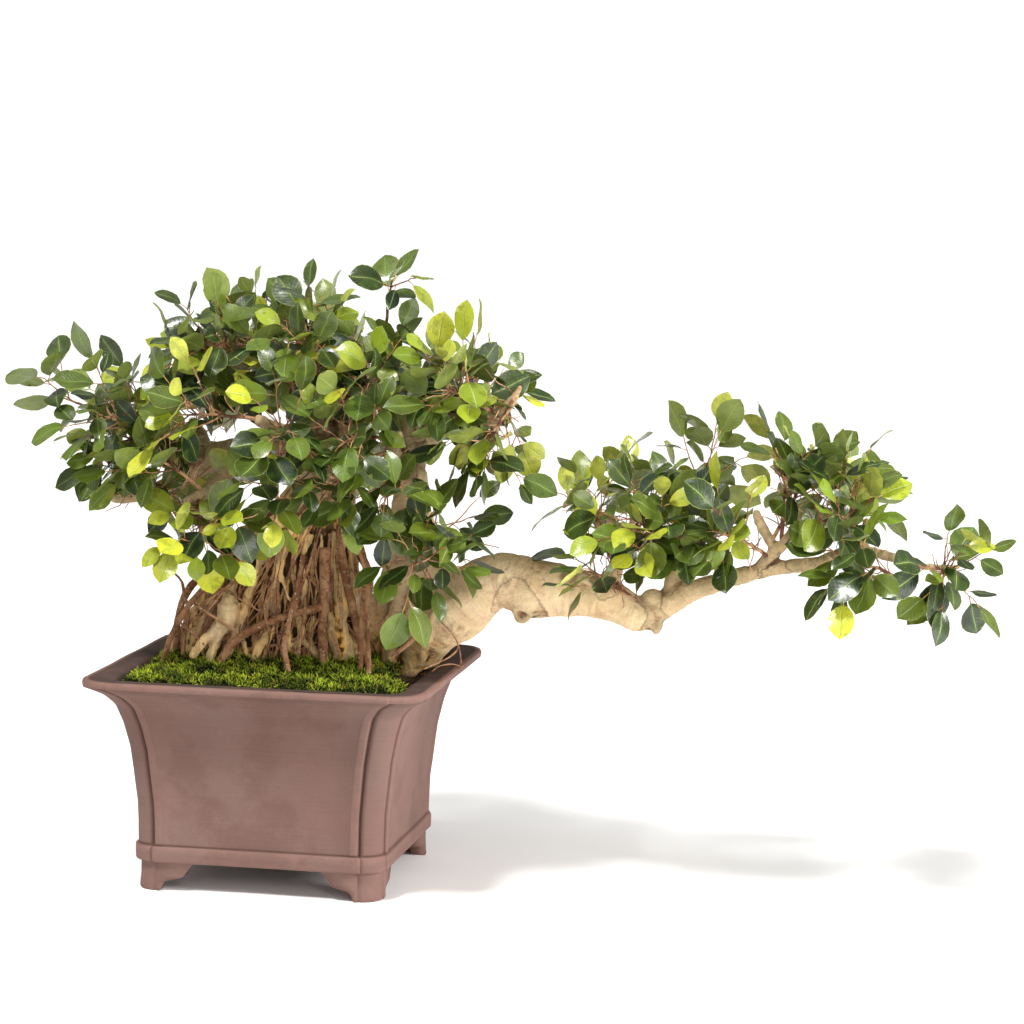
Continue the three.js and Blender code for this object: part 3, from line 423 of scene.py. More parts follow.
def applied(piece):
    """The piece as its modifiers leave it, made a plain mesh."""
    graph = bpy.context.evaluated_depsgraph_get()
    mesh = bpy.data.meshes.new_from_object(piece.evaluated_get(graph))
    old = piece.data
    piece.modifiers.clear()
    piece.data = mesh
    mesh.name = piece.name
    if mesh.materials and mesh.materials[0] is None:
        numbers = np.empty(len(mesh.polygons), np.int32)
        mesh.polygons.foreach_get("material_index", numbers)
        mesh.materials.pop(index=0)
        mesh.polygons.foreach_set("material_index", np.maximum(numbers - 1, 0))
    if old.users == 0:
        bpy.data.meshes.remove(old)
    return piece


def keep(piece, slot, *nodes):
    """Puts the piece on the tree's body, in place of CAD nodes; its slot is not used."""
    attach(piece, BODY)
    if nodes:
        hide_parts(*nodes)
    return piece


def add_node(tree, kind, settings=(), sockets=()):
    """One node: its settings first, then the values or links of its sockets."""
    node = tree.nodes.new(kind)
    for key, value in dict(settings).items():
        setattr(node, key, value)
    for key, value in dict(sockets).items():
        if isinstance(value, Value):
            value = value.socket
        if isinstance(value, bpy.types.NodeSocket):
            tree.links.new(value, node.inputs[key])
        elif node.inputs[key].type == "RGBA":
            node.inputs[key].default_value = (*value[:3], 1)
        else:
            node.inputs[key].default_value = value
    return node


class Value:
    """A socket's output, on which sums add Math nodes."""

    def __init__(self, tree, socket):
        self.tree = tree
        self.socket = socket

    def math(self, operation, *others, turned=False):
        terms = (*others, self) if turned else (self, *others)
        node = add_node(self.tree, "ShaderNodeMath", {"operation": operation}, enumerate(terms))
        return Value(self.tree, node.outputs[0])

    def __add__(self, other):
        return self.math("ADD", other)

    __radd__ = __add__

    def __mul__(self, other):
        return self.math("MULTIPLY", other)

    __rmul__ = __mul__

    def __sub__(self, other):
        return self.math("SUBTRACT", other)

    def __rsub__(self, other):
        return self.math("SUBTRACT", other, turned=True)

    def __truediv__(self, other):
        return self.math("DIVIDE", other)

    def __pow__(self, other):
        return self.math("POWER", other)

    def __abs__(self):
        return self.math("ABSOLUTE")

    def rise(self, low, high):
        """0 below low, 1 above high, smooth between; low may be above high."""
        node = add_node(self.tree, "ShaderNodeMapRange", {"interpolation_type": "SMOOTHSTEP"},
                        {0: self, 1: low, 2: high})
        return Value(self.tree, node.outputs[0])


class Nodes:
    """A node tree under way."""

    def __init__(self, tree):
        self.tree = tree

    def node(self, kind, settings=(), sockets=(), output=0):
        return Value(self.tree, add_node(self.tree, kind, settings, sockets).outputs[output])


class Finish(Nodes):
    """A material under way: its one main shader, and its colour so far."""

    def __init__(self, name, **constants):
        self.material = bpy.data.materials.new(name)
        self.material.use_nodes = True
        super().__init__(self.material.node_tree)
        self.shader = self.tree.nodes["Principled BSDF"]
        for key, value in constants.items():
            self.shader.inputs[key.replace("_", " ")].default_value = value
        self.place = self.node("ShaderNodeTexCoord", output="Object")

    def mix(self, factor, first, second):
        sockets = {0: factor, 6: first, 7: second}
        return self.node("ShaderNodeMix", {"data_type": "RGBA"}, sockets, output=2)

    def start(self, factor, first, second):
        """Makes the colour a mix of two."""
        self.colour = self.mix(factor, first, second)

    def lay(self, factor, colour):
        """Lays one more colour over the rest, as thickly as the factor says."""
        self.colour = self.mix(factor, self.colour, colour)

    def stretched(self, x, y, z):
        sockets = {0: self.place, 1: (x, y, z)}
        return self.node("ShaderNodeVectorMath", {"operation": "MULTIPLY"}, sockets)

    def cloud(self, scale, detail=3.0, rough=0.5, place=None):
        return self.node("ShaderNodeTexNoise", {}, {
            "Vector": place or self.place, "Scale": scale, "Detail": detail, "Roughness": rough})

    def cells(self, scale):
        return self.node("ShaderNodeTexVoronoi", {}, {"Vector": self.place, "Scale": scale})

    def mark(self, name):
        return self.node("ShaderNodeAttribute", {"attribute_name": name}, output="Fac")

    def axis(self, name):
        return self.node("ShaderNodeSeparateXYZ", {}, {0: self.place}, output=name)

    def wear(self, rough, relief=None, depth=0.001, strength=1.0):
        """Sets what changes over the surface, and gives back the material."""
        changing = {"Base Color": self.colour, "Roughness": rough}
        if relief is not None:
            changing["Normal"] = self.node("ShaderNodeBump", {}, {
                "Height": relief, "Distance": depth, "Strength": strength})
        for key, value in changing.items():
            if isinstance(value, Value):
                self.tree.links.new(value.socket, self.shader.inputs[key])
            else:
                self.shader.inputs[key].default_value = value
        return self.material


def shaded(colour, red, green, blue):
    """A colour with each of its three parts made weaker or stronger."""
    return tuple(min(1, part * share) for part, share in zip(colour, (red, green, blue)))


def clay_finish(sizes):
    """Unglazed purple-brown clay, finely brushed, darker on the rim's top and inside; painted
    shade in its grooves, painted light on its right side.
    """
    finish = Finish("pot_clay", Specular_IOR_Level=0.35)
    body = sizes.clay_colour
    pale, deep = shaded(body, 1.3, 1.3, 1.3), shaded(body, 0.78, 0.7, 0.66)
    dusty, recess_shade_colour = shaded(body, 1.12, 1.28, 1.32), shaded(body, 0.46, 0.36, 0.32)
    broad = finish.cloud(5, 2, 0.5)
    patches = finish.cloud(13, 5, 0.6)
    brushed = finish.cloud(1, 3, 0.55, finish.stretched(16, 16, 950))
    grain = finish.cloud(1150, 2, 0.6)
    finish.start(broad.rise(0.36, 0.62), dusty, body)
    # Painted light: the right and back faces are painted paler, as light from the right would
    # leave them.
    corner = placed(0, 0, 0)
    lit_side = finish.axis("X") + finish.axis("Y") - (corner.x + corner.y)
    finish.lay(lit_side.rise(-0.012, 0.03) * 0.75, pale)
    finish.lay(patches.rise(0.5, 0.36) * 0.55, deep)
    finish.lay(finish.cloud(28, 5, 0.65).rise(0.52, 0.68) * 0.35, pale)
    finish.lay(brushed.rise(0.5, 0.64) * 0.16, pale)
    finish.lay(brushed.rise(0.48, 0.36) * 0.16, deep)
    finish.lay(grain.rise(0.56, 0.68) * 0.3, pale)
    finish.lay(grain.rise(0.44, 0.34) * 0.3, deep)
    rubbed = finish.cloud(70, 4, 0.6).rise(0.36, 0.6)
    finish.lay(finish.mark("worn") * (rubbed * 0.3 + 0.22), shaded(body, 1.6, 1.6, 1.6))
    # Painted shade in the grooves, the crease over the band and under the lip.
    finish.lay(finish.mark("sunk").rise(0.0, 1.0) * 0.8, recess_shade_colour)
    pits = finish.cells(210).rise(0.11, 0.05) * finish.cloud(31, 2).rise(0.52, 0.6)
    finish.lay(pits * 0.6, deep)
    stain = finish.cloud(34, 4, 0.6).rise(0.38, 0.6)
    finish.lay(finish.mark("inside") * (stain * 0.2 + 0.8), sizes.rim_colour)
    long, deep_in = RIM_DARK_PATCH_SIZE
    x, y, _ = placed(*RIM_DARK_PATCH)
    across = (finish.axis("X") - x) / (long * MM)
    inward = (finish.axis("Y") - y) / (deep_in * MM)
    spot = (across * across + inward * inward + (patches - 0.5) * 1.2).rise(1.15, 0.75)
    spot = spot * finish.axis("Z").rise(RIM_DARK_PATCH[2] * MM, RIM_DARK_PATCH[2] * MM + 0.001)
    finish.lay(spot, tone(34, 10, 6))
    rough = 0.6 + patches * 0.2 + grain * 0.12 + finish.mark("inside") * 0.12
    relief = grain * 0.5 + brushed * 0.35 + finish.cloud(60, 3) * 1.3 + patches * 3 - pits * 1.5
    return finish.wear(rough, relief, 0.0007, 0.6)


def bark_finish(sizes):
    """Tan bark, ringed across the limbs, with painted shade in its folds, painted highlights on
    its ridges and green stain on old roots.
    """
    finish = Finish("banyan_bark", Specular_IOR_Level=0.3)
    old, hollow = finish.mark("old"), finish.mark("hollow")
    run, slim = finish.mark("run"), finish.mark("slim")
    across = finish.node("ShaderNodeCombineXYZ", {}, {
        0: run * 260, 1: finish.axis("Y") * 20, 2: finish.axis("Z") * 20})
    rings = finish.cloud(1, 3, 0.6, across)
    patches = finish.cloud(21, 5, 0.62)
    fine = finish.cloud(360, 4, 0.65)
    crumbs = finish.cloud(120, 5, 0.7)
    fibre = finish.cloud(1, 4, 0.65, finish.stretched(170, 170, 24))
    finish.start(patches.rise(0.36, 0.58), sizes.bark_shade, sizes.bark_colour)
    finish.lay(crumbs.rise(0.52, 0.64) * 0.45, tone(238, 220, 186))
    finish.lay(crumbs.rise(0.44, 0.34) * 0.4, tone(150, 118, 80))
    finish.lay(rings.rise(0.47, 0.36) * (1 - old) * 0.3, tone(160, 128, 90))
    finish.lay(finish.cloud(9, 4, 0.6).rise(0.5, 0.64) * 0.5, tone(188, 146, 106))
    twiggy = finish.mix(crumbs.rise(0.42, 0.6), tone(66, 44, 30), tone(150, 112, 80))
    weathered = finish.mix(crumbs.rise(0.42, 0.6), tone(70, 48, 30), tone(136, 102, 66))
    high = finish.axis("Z").rise(0.375, 0.43)
    # Further right the bark browns: partly thinner wood's colour, partly painted shade.
    far = finish.axis("X").rise(FAR_LIMB, FAR_LIMB + 0.08) * (1 - high)
    browner_and_shaded = finish.mix(crumbs.rise(0.4, 0.6), tone(118, 84, 58), tone(190, 148, 110))
    finish.lay(high * 0.85, weathered)
    finish.lay(far * 0.75, browner_and_shaded)
    finish.lay(slim * 0.85, twiggy)
    aged = finish.mix(fibre.rise(0.4, 0.58), tone(112, 72, 24), tone(238, 180, 92))
    aged = finish.mix(finish.cloud(30, 4, 0.6).rise(0.52, 0.64) * 0.5, aged, tone(138, 112, 34))
    aged = finish.mix(crumbs.rise(0.5, 0.64) * 0.5, aged, tone(226, 190, 112))
    aged = finish.mix(crumbs.rise(0.44, 0.34) * 0.65, aged, tone(82, 58, 28))
    finish.lay(old, aged)
    lichen = finish.cloud(46, 5, 0.65).rise(0.55, 0.66)
    finish.lay(lichen * 0.25, tone(176, 158, 100))
    finish.lay(fine.rise(0.55, 0.68) * 0.3, tone(128, 98, 62))
    finish.lay(finish.cells(230).rise(0.13, 0.06) * 0.35, tone(104, 76, 48))
    # Painted shade in the folds, stronger on old bark.
    shade = hollow.rise(0.5 - old * 0.14, 0.82 - old * 0.16) * (0.25 + old * 0.68)
    finish.lay(shade, tone(36, 22, 10))
    # Painted highlight on the ridges.
    finish.lay(hollow.rise(0.34, 0.08) * 0.4, tone(236, 214, 164))
    relief = fine * 0.5 + rings * (1 - old) * 1.2 + crumbs * 1.4 + fibre * old * 1.8
    return finish.wear(0.6 + fine * 0.35, relief, 0.0022, 0.8)


def root_finish(sizes):
    """Reddish-brown aerial roots with pale breathing pores."""
    finish = Finish("aerial_root", Specular_IOR_Level=0.35)
    red = sizes.root_colour
    fine = finish.cloud(420, 4, 0.65)
    shade = finish.cloud(38, 4, 0.6)
    finish.start(shade.rise(0.38, 0.6), shaded(red, 0.5, 0.42, 0.34), red)
    finish.lay(finish.cloud(150, 4).rise(0.52, 0.62) * 0.6, tone(196, 154, 112))
    pores = finish.cells(210).rise(0.3, 0.16) * finish.cloud(60, 2).rise(0.4, 0.5)
    finish.lay(pores * 0.7, tone(224, 200, 176))
    finish.lay(fine.rise(0.54, 0.68) * 0.4, tone(84, 54, 36))
    flakes = finish.cloud(210, 5, 0.7)
    finish.lay(flakes.rise(0.46, 0.38) * 0.6, tone(78, 46, 30))
    return finish.wear(0.66 + fine * 0.25, fine + shade + pores + flakes * 1.5, 0.0018, 0.9)


def twig_finish(sizes):
    """Thin brown twigs, pinker and greener towards the leaves."""
    finish = Finish("leaf_twig", Specular_IOR_Level=0.35)
    fine = finish.cloud(520, 3, 0.6)
    finish.start(finish.cloud(70, 3).rise(0.4, 0.6), tone(112, 72, 50), tone(206, 160, 122))
    finish.lay(finish.mark("fresh").rise(0.5, 1.0) * 0.7, tone(178, 124, 78))
    finish.lay(fine.rise(0.54, 0.66) * 0.45, tone(84, 52, 36))
    return finish.wear(0.56 + fine * 0.25, fine, 0.0008, 0.7)


def leaf_finish(sizes):
    """Leathery, glossy blades: dark when old, yellow-green when young, pale below."""
    finish = Finish("leaf_blade", Coat_Weight=0.45, Coat_Roughness=0.17, Specular_IOR_Level=0.45)
    spread = finish.node("ShaderNodeUVMap", {"uv_map": "blade"})
    across, up = (finish.node("ShaderNodeSeparateXYZ", {}, {0: spread}, name) for name in "XY")
    under = across.rise(1.4, 1.6)
    off = abs(across - under * 2 - 0.5)
    tint, youth = finish.mark("tint"), finish.mark("youth")
    old = finish.mix(tint ** 1.9, sizes.leaf_dark, sizes.leaf_green)
    patches = finish.cloud(90, 4, 0.6)
    young = finish.mix(tint, tone(112, 140, 18), tone(200, 202, 54))
    top = finish.mix(youth, old, young)
    top = finish.mix(patches.rise(0.5, 0.66) * 0.22, top, tone(92, 124, 36))
    top = finish.mix(patches.rise(0.46, 0.34) * 0.35, top, sizes.leaf_dark)
    slant = (up + off * -0.55) * 9.0
    ribs = abs(slant - slant.math("ROUND"))
    top = finish.mix(ribs.rise(0.07, 0.0) * 0.16 * (1 - off * 1.4), top, tone(136, 162, 84))
    top = finish.mix(off.rise(0.16, 0.0) * 0.18, top, tone(120, 152, 66))
    below = finish.mix(youth, tone(112, 128, 54), tone(186, 190, 74))
    below = finish.mix(patches.rise(0.42, 0.6) * 0.4, below, tone(86, 102, 40))
    finish.start(under, top, below)
    line = tint.rise(0.9, 0.2) * 0.35 + 0.25
    finish.lay(off.rise(0.022, 0.004) * line, tone(176, 190, 110))
    finish.lay(off.rise(0.472, 0.496) * line, tone(178, 186, 96))
    blemish = finish.cells(95).rise(0.09, 0.05) * tint.rise(0.55, 0.8)
    finish.lay(blemish * 0.8, tone(128, 104, 44))
    stalk = up.rise(0.012, -0.012)
    finish.lay(stalk, finish.mix(tint, tone(170, 84, 62), tone(186, 160, 84)))
    rough = 0.26 + under * 0.3 + patches * 0.16 + stalk * 0.1 + tint * 0.08
    relief = ribs.rise(0.12, 0.0) * -0.4 + off.rise(0.05, 0.0) * -0.8 + patches * 1.2
    return finish.wear(rough, relief, 0.0009, 0.6)


def moss_finish(sizes):
    """Bright moss, with painted shade down its shoots and on the bed between them, and brown in
    its thin places.
    """
    finish = Finish("moss_shoots", Specular_IOR_Level=0.25)
    patches = finish.cloud(34, 4, 0.6)
    finish.start(finish.mark("tint"), sizes.moss_bright, tone(196, 206, 62))
    finish.lay(patches.rise(0.56, 0.42) * 0.85, tone(62, 80, 9))
    finish.lay(finish.cloud(80, 3).rise(0.57, 0.65) * 0.7, tone(140, 112, 44))
    # Painted shade: darker down each shoot, and darkest on the bed under them.
    finish.lay(finish.mark("height").rise(0.95, 0.3), sizes.moss_painted_shade)
    return finish.wear(0.85)


def earth_finish(sizes):
    """Damp, crumbly soil with a few pale grains."""
    finish = Finish("earth")
    lumps = finish.cloud(190, 5, 0.7)
    finish.start(lumps.rise(0.4, 0.62), tone(38, 25, 17), tone(104, 76, 52))
    finish.lay(finish.cells(260).rise(0.14, 0.08) * 0.8, tone(206, 190, 166))
    return finish.wear(0.9, lumps + finish.cells(420) * 0.6, 0.003, 1.0)


def stone_finish(sizes):
    """Tan drainage stones, each of its own shade."""
    finish = Finish("stone")
    fine = finish.cloud(500, 4, 0.6)
    finish.start(finish.mark("tint"), tone(140, 110, 78), tone(206, 184, 150))
    finish.lay(fine.rise(0.48, 0.62) * 0.5, tone(110, 84, 58))
    return finish.wear(0.85, fine, 0.0012, 0.8)


def plastic_finish(sizes):
    """Black moulded plastic mesh, faintly dusty."""
    finish = Finish("plastic")
    dust = finish.cloud(140, 4, 0.6)
    finish.start(dust.rise(0.48, 0.66) * 0.6, tone(30, 32, 31), tone(88, 78, 66))
    return finish.wear(0.5 + dust * 0.3, finish.cloud(900, 2), 0.0004, 0.5)


def floor_finish(sizes):
    """The white floor that the pot stands on."""
    finish = Finish("floor")
    finish.colour = (0.94, 0.94, 0.94, 1)
    return finish.wear(0.9)


FINISH_MAKERS = {
    "pot_clay": clay_finish, "banyan_bark": bark_finish, "aerial_root": root_finish,
    "leaf_twig": twig_finish, "leaf_blade": leaf_finish, "moss_shoots": moss_finish,
    "earth": earth_finish, "stone": stone_finish, "plastic": plastic_finish,
    "floor": floor_finish,
}


def finish_named(name):
    """The material of that name, made the first time that it is asked for."""
    found = bpy.data.materials.get(name)
    return found or FINISH_MAKERS[name](bpy.context.scene.bonsai_finishes)


def pot_corner(half, groove, bead=0.0):
    """The pot's plan at its front right corner: panel, bead, groove, pilaster, groove, bead."""
    lobe = half * POT_LOBE
    start = half - lobe
    radius = lobe - 1.2
    left = [(start - 10.5, -half), (start - 9.6, -half - 0.7 * bead), (start - 8.2, -half - bead),
            (start - 3.0, -half - bead), (start - 1.5, -half - 0.6 * bead),
            (start - 0.9, -half + 0.5 * groove), (start - 0.4, -half + groove),
            (start + 0.6, -half + groove)]
    arc = []
    for i in range(PILASTER_POINTS):
        angle = math.radians(-84 + 78 * i / (PILASTER_POINTS - 1))
        arc.append((start + radius * math.cos(angle), -start + radius * math.sin(angle)))
    right = [(-y, -x) for x, y in reversed(left)]
    return left + arc + right


def square_outline(corner):
    """The plan all the way round: the corner four times, with points along each panel."""
    outline = []
    for quarter in range(4):
        turn = Matrix.Rotation(quarter * math.pi / 2, 2)
        points = [turn @ Vector(point) for point in corner]
        ahead = Matrix.Rotation((quarter + 1) * math.pi / 2, 2) @ Vector(corner[0])
        outline.extend(points)
        outline += [points[-1].lerp(ahead, i / PANEL_SPANS) for i in range(1, PANEL_SPANS)]
    return outline


def hollow_corner(half, steps):
    """The plan of the pot's hollow at the same corner: a plain round one."""
    corner = []
    middle = half - HOLLOW_RADIUS
    for i in range(steps):
        angle = math.radians(-90 + 90 * i / (steps - 1))
        corner.append((middle + HOLLOW_RADIUS * math.cos(angle),
                       -middle + HOLLOW_RADIUS * math.sin(angle)))
    return corner


def softened(rows, spacing, round_off):
    """Rows of (height, half-width) drawn closer together, with their corners eased."""
    points = [Vector(row) for row in rows]
    dense = [points[0]]
    for before, after in zip(points, points[1:]):
        count = max(1, round((after - before).length / spacing))
        dense.extend(before.lerp(after, i / count) for i in range(1, count + 1))
    for _ in range(round_off):
        inner = [(a + b * 2 + c) / 4 for a, b, c in zip(dense, dense[1:], dense[2:])]
        dense = [dense[0], *inner, dense[-1]]
    return dense


def make_pot_mesh(sizes):
    """Outer wall, rim and hollow as one closed skin, and the four feet below it."""
    shape = Shape()
    wall = [(z, half, "band") for z, half in BAND]
    wall += [(z, half, "wall") for z, half in softened([(45.4, 124.3), *POT_WALL[4:-1]], 2.4, 2)]
    lip = [(204.6, 169.6), (205.4, 170.3), (208.6, 170.5), (210.2, 170.0), (211.0, 168.6)]
    rim = [(211.0, 166.8), (210.7, 164.0), (210.3, 156.0), (209.9, 149.0), (209.4, 144.4)]
    hollow = [(207.6, 142.2), (203.0, 140.4), *[(z, h) for z, h in reversed(POT_HOLLOW[:-1])]]
    rows = wall + [(z, h, "lip") for z, h in lip]
    rows += [(z, h, "rim") for z, h in rim] + [(z, h, "hollow") for z, h in hollow]
    rings, marks = [], []
    corner_size = len(pot_corner(100, POT_GROOVE))
    for z, half, part in rows:
        groove = POT_GROOVE * sizes.groove_depth * {"band": 0.5, "wall": 1.0}.get(part, 0.3)
        bead = {"wall": min(1, max(0, (200 - z) / 14)), "band": 0.3}.get(part, 0)
        outer = square_outline(pot_corner(half, groove, bead))
        if part in ("rim", "hollow"):
            ease = 1.0 if part == "hollow" else min(1, max(0, (166.8 - half) / 22))
            plain = square_outline(hollow_corner(half, corner_size))
            outer = [a.lerp(b, ease) for a, b in zip(outer, plain)]
        ring = []
        for step, point in enumerate(outer):
            place = Vector((point.x, point.y, z))
            wobble = noisy(place, 60, 3.1) * 0.7 + noisy(place, 18, 5.2) * 0.2
            nick = max(0, noisy(place, 9, 7.7) - 0.35) * 2.2 if 209 < z and half > RIM_EDGE else 0
            out = Vector((point.x, point.y)).normalized() * (wobble - nick)
            lift = (0.35 * wobble - nick) * (z > 200)
            ring.append(Vector((point.x + out.x, point.y + out.y, z + lift)))
            marks.append(pot_marks(z, half, part, step % (len(outer) // 4), corner_size))
        rings.append(ring)
    numbers = shape.add_rings(rings, closed_ends=False)
    close_floor(shape, rings, numbers)
    marks += [(0.0, 0.0, 0.6)] * (len(shape.points) - len(marks))
    for quarter in range(4):
        add_foot(shape, quarter)
    for point in shape.points[len(marks):]:
        marks.append((0.8 if point.z < 1.5 else 0.3, 0.0, 0.0))
    return shape, marks


def pot_marks(z, half, part, step, corner_size):
    """How worn, how deep in painted shade and how far inside a point of the pot's skin is."""
    if part in ("rim", "hollow"):
        return (1.0, 0.0, 0.0) if half > RIM_EDGE else (0.0, 0.0, 1.0)
    step = min(step, corner_size - 1 - step) if step < corner_size else 99
    worn = 0.9 if part == "lip" else {2: 0.5, 3: 0.7, 4: 0.5}.get(step, 0.0)
    worn = max(worn, 0.8 if 42.2 < z < 43.9 or 28.4 < z < 31.2 else 0.0)
    # Painted shade: darkest in the panel grooves, the crease over the band and under the lip.
    sunk = {5: 0.6, 6: 1.0, 7: 1.0, 8: 0.55, 1: 0.25}.get(step, 0.0) if part == "wall" else 0.0
    if 44.4 < z < 45.8:
        sunk = 0.8
    elif part == "band" and step in (6, 7):
        sunk = 0.6
    elif part == "wall" and z > 199:
        sunk = max(sunk, 0.35)
    return worn, sunk, 0.0


def close_floor(shape, rings, numbers):
    """Joins the underside and the pot's floor round the drain hole."""
    hole = []
    for z, end in ((POT_UNDERSIDE, 0), (POT_FLOOR_TOP, -1)):
        first = len(shape.points)
        for point in rings[end]:
            way = Vector((point.x, point.y)).normalized() * DRAIN_HOLE_RADIUS
            shape.points.append(Vector((way.x, way.y, z)))
        hole.append(range(first, first + len(rings[end])))
    shape.bridge(numbers[0], hole[0], turned=True)
    shape.bridge(hole[1], numbers[-1], turned=True)
    shape.bridge(*hole, turned=True)


def add_foot(shape, quarter):
    """An L-shaped bracket foot whose ends step back in a curve."""
    turn = Matrix.Rotation(quarter * math.pi / 2, 3, "Z")
    rings = []
    for z in (0, 0.5, 1.6, 4, 7, 9.5, 11.5, 13, 14.5, 16, 18, 21, 25, 28.5, 30):
        reach, flare = read_row(FOOT, z)
        bead = 1.6 * math.exp(-((z - 13.5) / 2.2) ** 2)
        ease = 0.9 * max(0, 1 - z / 1.6) ** 2
        half = FOOT_HALF_WIDTH + flare - ease
        reach = reach + bead - ease
        inner = half - FOOT_THICKNESS + 2 * ease
        outline = [(half - reach, -half), *pot_corner(half, 1.8)[4:-4], (half, -half + reach),
                   (inner, -half + reach), (inner, -inner), (half - reach, -inner)]
        rings.append([turn @ Vector((x, y, z)) for x, y in outline])
    shape.add_rings(rings)
    elbow = FOOT_HALF_WIDTH - FOOT_THICKNESS + 2
    for index, z in ((len(shape.points) - 2, 0), (len(shape.points) - 1, 30)):
        shape.points[index] = turn @ Vector((elbow, -elbow, z))


def mound_height(share):
    """Height of the soil's gentle mound at a share of the way out to the wall."""
    return SOIL_CROWN + (SOIL_EDGE - SOIL_CROWN) * min(1, share) ** 2


def share_out(x, y):
    """How far out a place lies towards the pot's wall, which is at 1."""
    return max(abs(x), abs(y)) / SOIL_HALF_WIDTH


def moss_cover(x, y):
    """How thickly moss grows at a place: none on the strip beside the buttress."""
    bare = 1 - max(0, min(1, (x - 104) / 12)) * max(0, min(1, (y + 74) / 18))
    patchy = 0.5 + 0.5 * noisy((x, y, 0), 26, 9.0)
    return bare * (0.62 + 0.38 * patchy)


def cushion_height(x, y):
    """Top of the moss above the soil, in rounded cushions that sink at their edges."""
    swell = 1.5 * math.sin(x / 11 + 1.3) * math.cos(y / 13) + 1.1 * math.sin((x + 2 * y) / 17)
    lumps = 3.6 * noisy((x, y, 0), 20, 2.0) + 2.6 * noisy((x, y, 0), 9, 4.0)
    edge = max(0.0, 1 - share_out(x, y)) * SOIL_HALF_WIDTH
    _, mid_x, mid_y, wide, deep = ROOT_MASS[0]
    foot = math.hypot((x - mid_x) / wide, (y - mid_y) / deep) - 1.12
    climb = 6 * math.exp(-(foot / 0.24) ** 2) * (1.2 if x < -40 else 0.8)
    thick = MOSS_THICKNESS - 2.2 + 0.5 * swell + lumps + climb
    return thick * min(1, (edge / 9) ** 0.6 if edge > 0 else 0)


def square_field(half, count, height, radius):
    """A square sheet of points with rounded corners, at a height given for each place."""
    points, faces = [], []
    for j in range(count):
        for i in range(count):
            x = (2 * i / (count - 1) - 1) * half
            y = (2 * j / (count - 1) - 1) * half
            core = half - radius
            over = Vector((max(abs(x) - core, 0), max(abs(y) - core, 0)))
            if over.length > radius:
                over = over.normalized() * radius
                x = math.copysign(core + over.x, x)
                y = math.copysign(core + over.y, y)
            points.append(Vector((x, y, height(x, y))))
    for j in range(count - 1):
        for i in range(count - 1):
            a = j * count + i
            faces.append((a, a + 1, a + count + 1, a + count))
    total = count * count
    rim = [*range(count), *range(2 * count - 1, total, count),
           *range(total - 2, total - count - 1, -1), *range(total - 2 * count, 0, -count)]
    return points, faces, rim


def skirted(points, faces, rim, levels):
    """Closes a sheet from below, by rings that draw in to the half-widths of the levels."""
    shape = Shape(points, faces)
    ring = rim
    size = max(abs(points[i].x) for i in rim)
    for z, half in levels:
        above, first = ring, len(shape.points)
        for index in rim:
            point = points[index]
            shape.points.append(Vector((point.x * half / size, point.y * half / size, z)))
        ring = range(first, first + len(rim))
        shape.bridge(above, ring, turned=True)
    shape.fan(ring, Vector((0, 0, levels[-1][0])), turned=True)
    return shape


def make_soil_mesh():
    """The soil: a crumbly top, and sides 0.5 mm clear of the pot's hollow."""
    def height(x, y):
        crumbs = 1.3 * noisy((x, y, 0), 5, 1.0) + 0.9 * noisy((x, y, 0), 2.4, 6.0)
        return mound_height(share_out(x, y)) + crumbs - 0.4

    half = read_row(POT_HOLLOW, SOIL_EDGE)[0] - 0.5
    points, faces, rim = square_field(half, 120, height, HOLLOW_RADIUS)
    levels = [(z, h - 0.5) for z, h in reversed(POT_HOLLOW) if GRAVEL_TOP < z < SOIL_EDGE]
    levels.append((GRAVEL_TOP + 0.3, read_row(POT_HOLLOW, GRAVEL_TOP)[0] - 0.5))
    return skirted(points, faces, rim, levels)


def make_moss_bed():
    """The carpet that the moss shoots stand on, tucked into the soil at its edge."""
    def height(x, y):
        cover = moss_cover(x, y)
        ground = mound_height(share_out(x, y))
        return ground - 3 + (3 + cushion_height(x, y)) * min(1, cover * 1.7)

    half = 133.0
    points, faces, rim = square_field(half, 110, height, 14)
    for index in rim:
        points[index].z = mound_height(share_out(points[index].x, points[index].y)) - 1.0
    return skirted(points, faces, rim, [(SOIL_EDGE - 4, half - 2)])


def moss_tuft(index):
    """One moss shoot: a short stalk of narrow leaflets that spread like a star."""
    source = random.Random(MOSS_SEED + index)
    points, faces, heights = [], [], []
    blades = 6
    for i in range(blades):
        angle = 2 * math.pi * (i + source.uniform(-0.3, 0.3)) / blades
        way = Vector((math.cos(angle), math.sin(angle), 0))
        side = Vector((-way.y, way.x, 0)) * 0.16
        low = 0.1 + 0.5 * (i % 2) * source.uniform(0.5, 1)
        lean = source.uniform(0.35, 0.75)
        first = len(points)
        points += [way * 0.04 - side + UP * (low - 0.1), way * 0.04 + side + UP * (low - 0.1),
                   way * (lean * 0.55) + UP * (low + 0.32), way * lean + UP * (low + 0.55)]
        heights += [low * 0.6, low * 0.6, low + 0.32, 1.0]
        faces += [(first, first + 1, first + 2), (first + 1, first + 3, first + 2),
                  (first, first + 2, first + 3), (first + 1, first, first + 3)]
    mesh = bpy.data.meshes.new("moss_shoot")
    mesh.from_pydata([tuple(p) for p in points], [], faces)
    mark_points(mesh, "height", heights)
    return bpy.data.objects.new("moss_shoot_%d" % index, mesh)


def drain_stone(index):
    """One rounded drainage stone, about 1 across."""
    form = bmesh.new()
    bmesh.ops.create_icosphere(form, subdivisions=2, radius=0.5)
    for vertex in form.verts:
        swell = 1 + 0.3 * noise.noise(vertex.co * 1.6 + Vector((index * 7, 0, 0)))
        vertex.co = vertex.co * swell * Vector((1.0, 0.85, 0.7))
    mesh = bpy.data.meshes.new("drain_stone")
    form.to_mesh(mesh)
    form.free()
    mesh.shade_smooth()
    return bpy.data.objects.new("drain_stone_%d" % index, mesh)


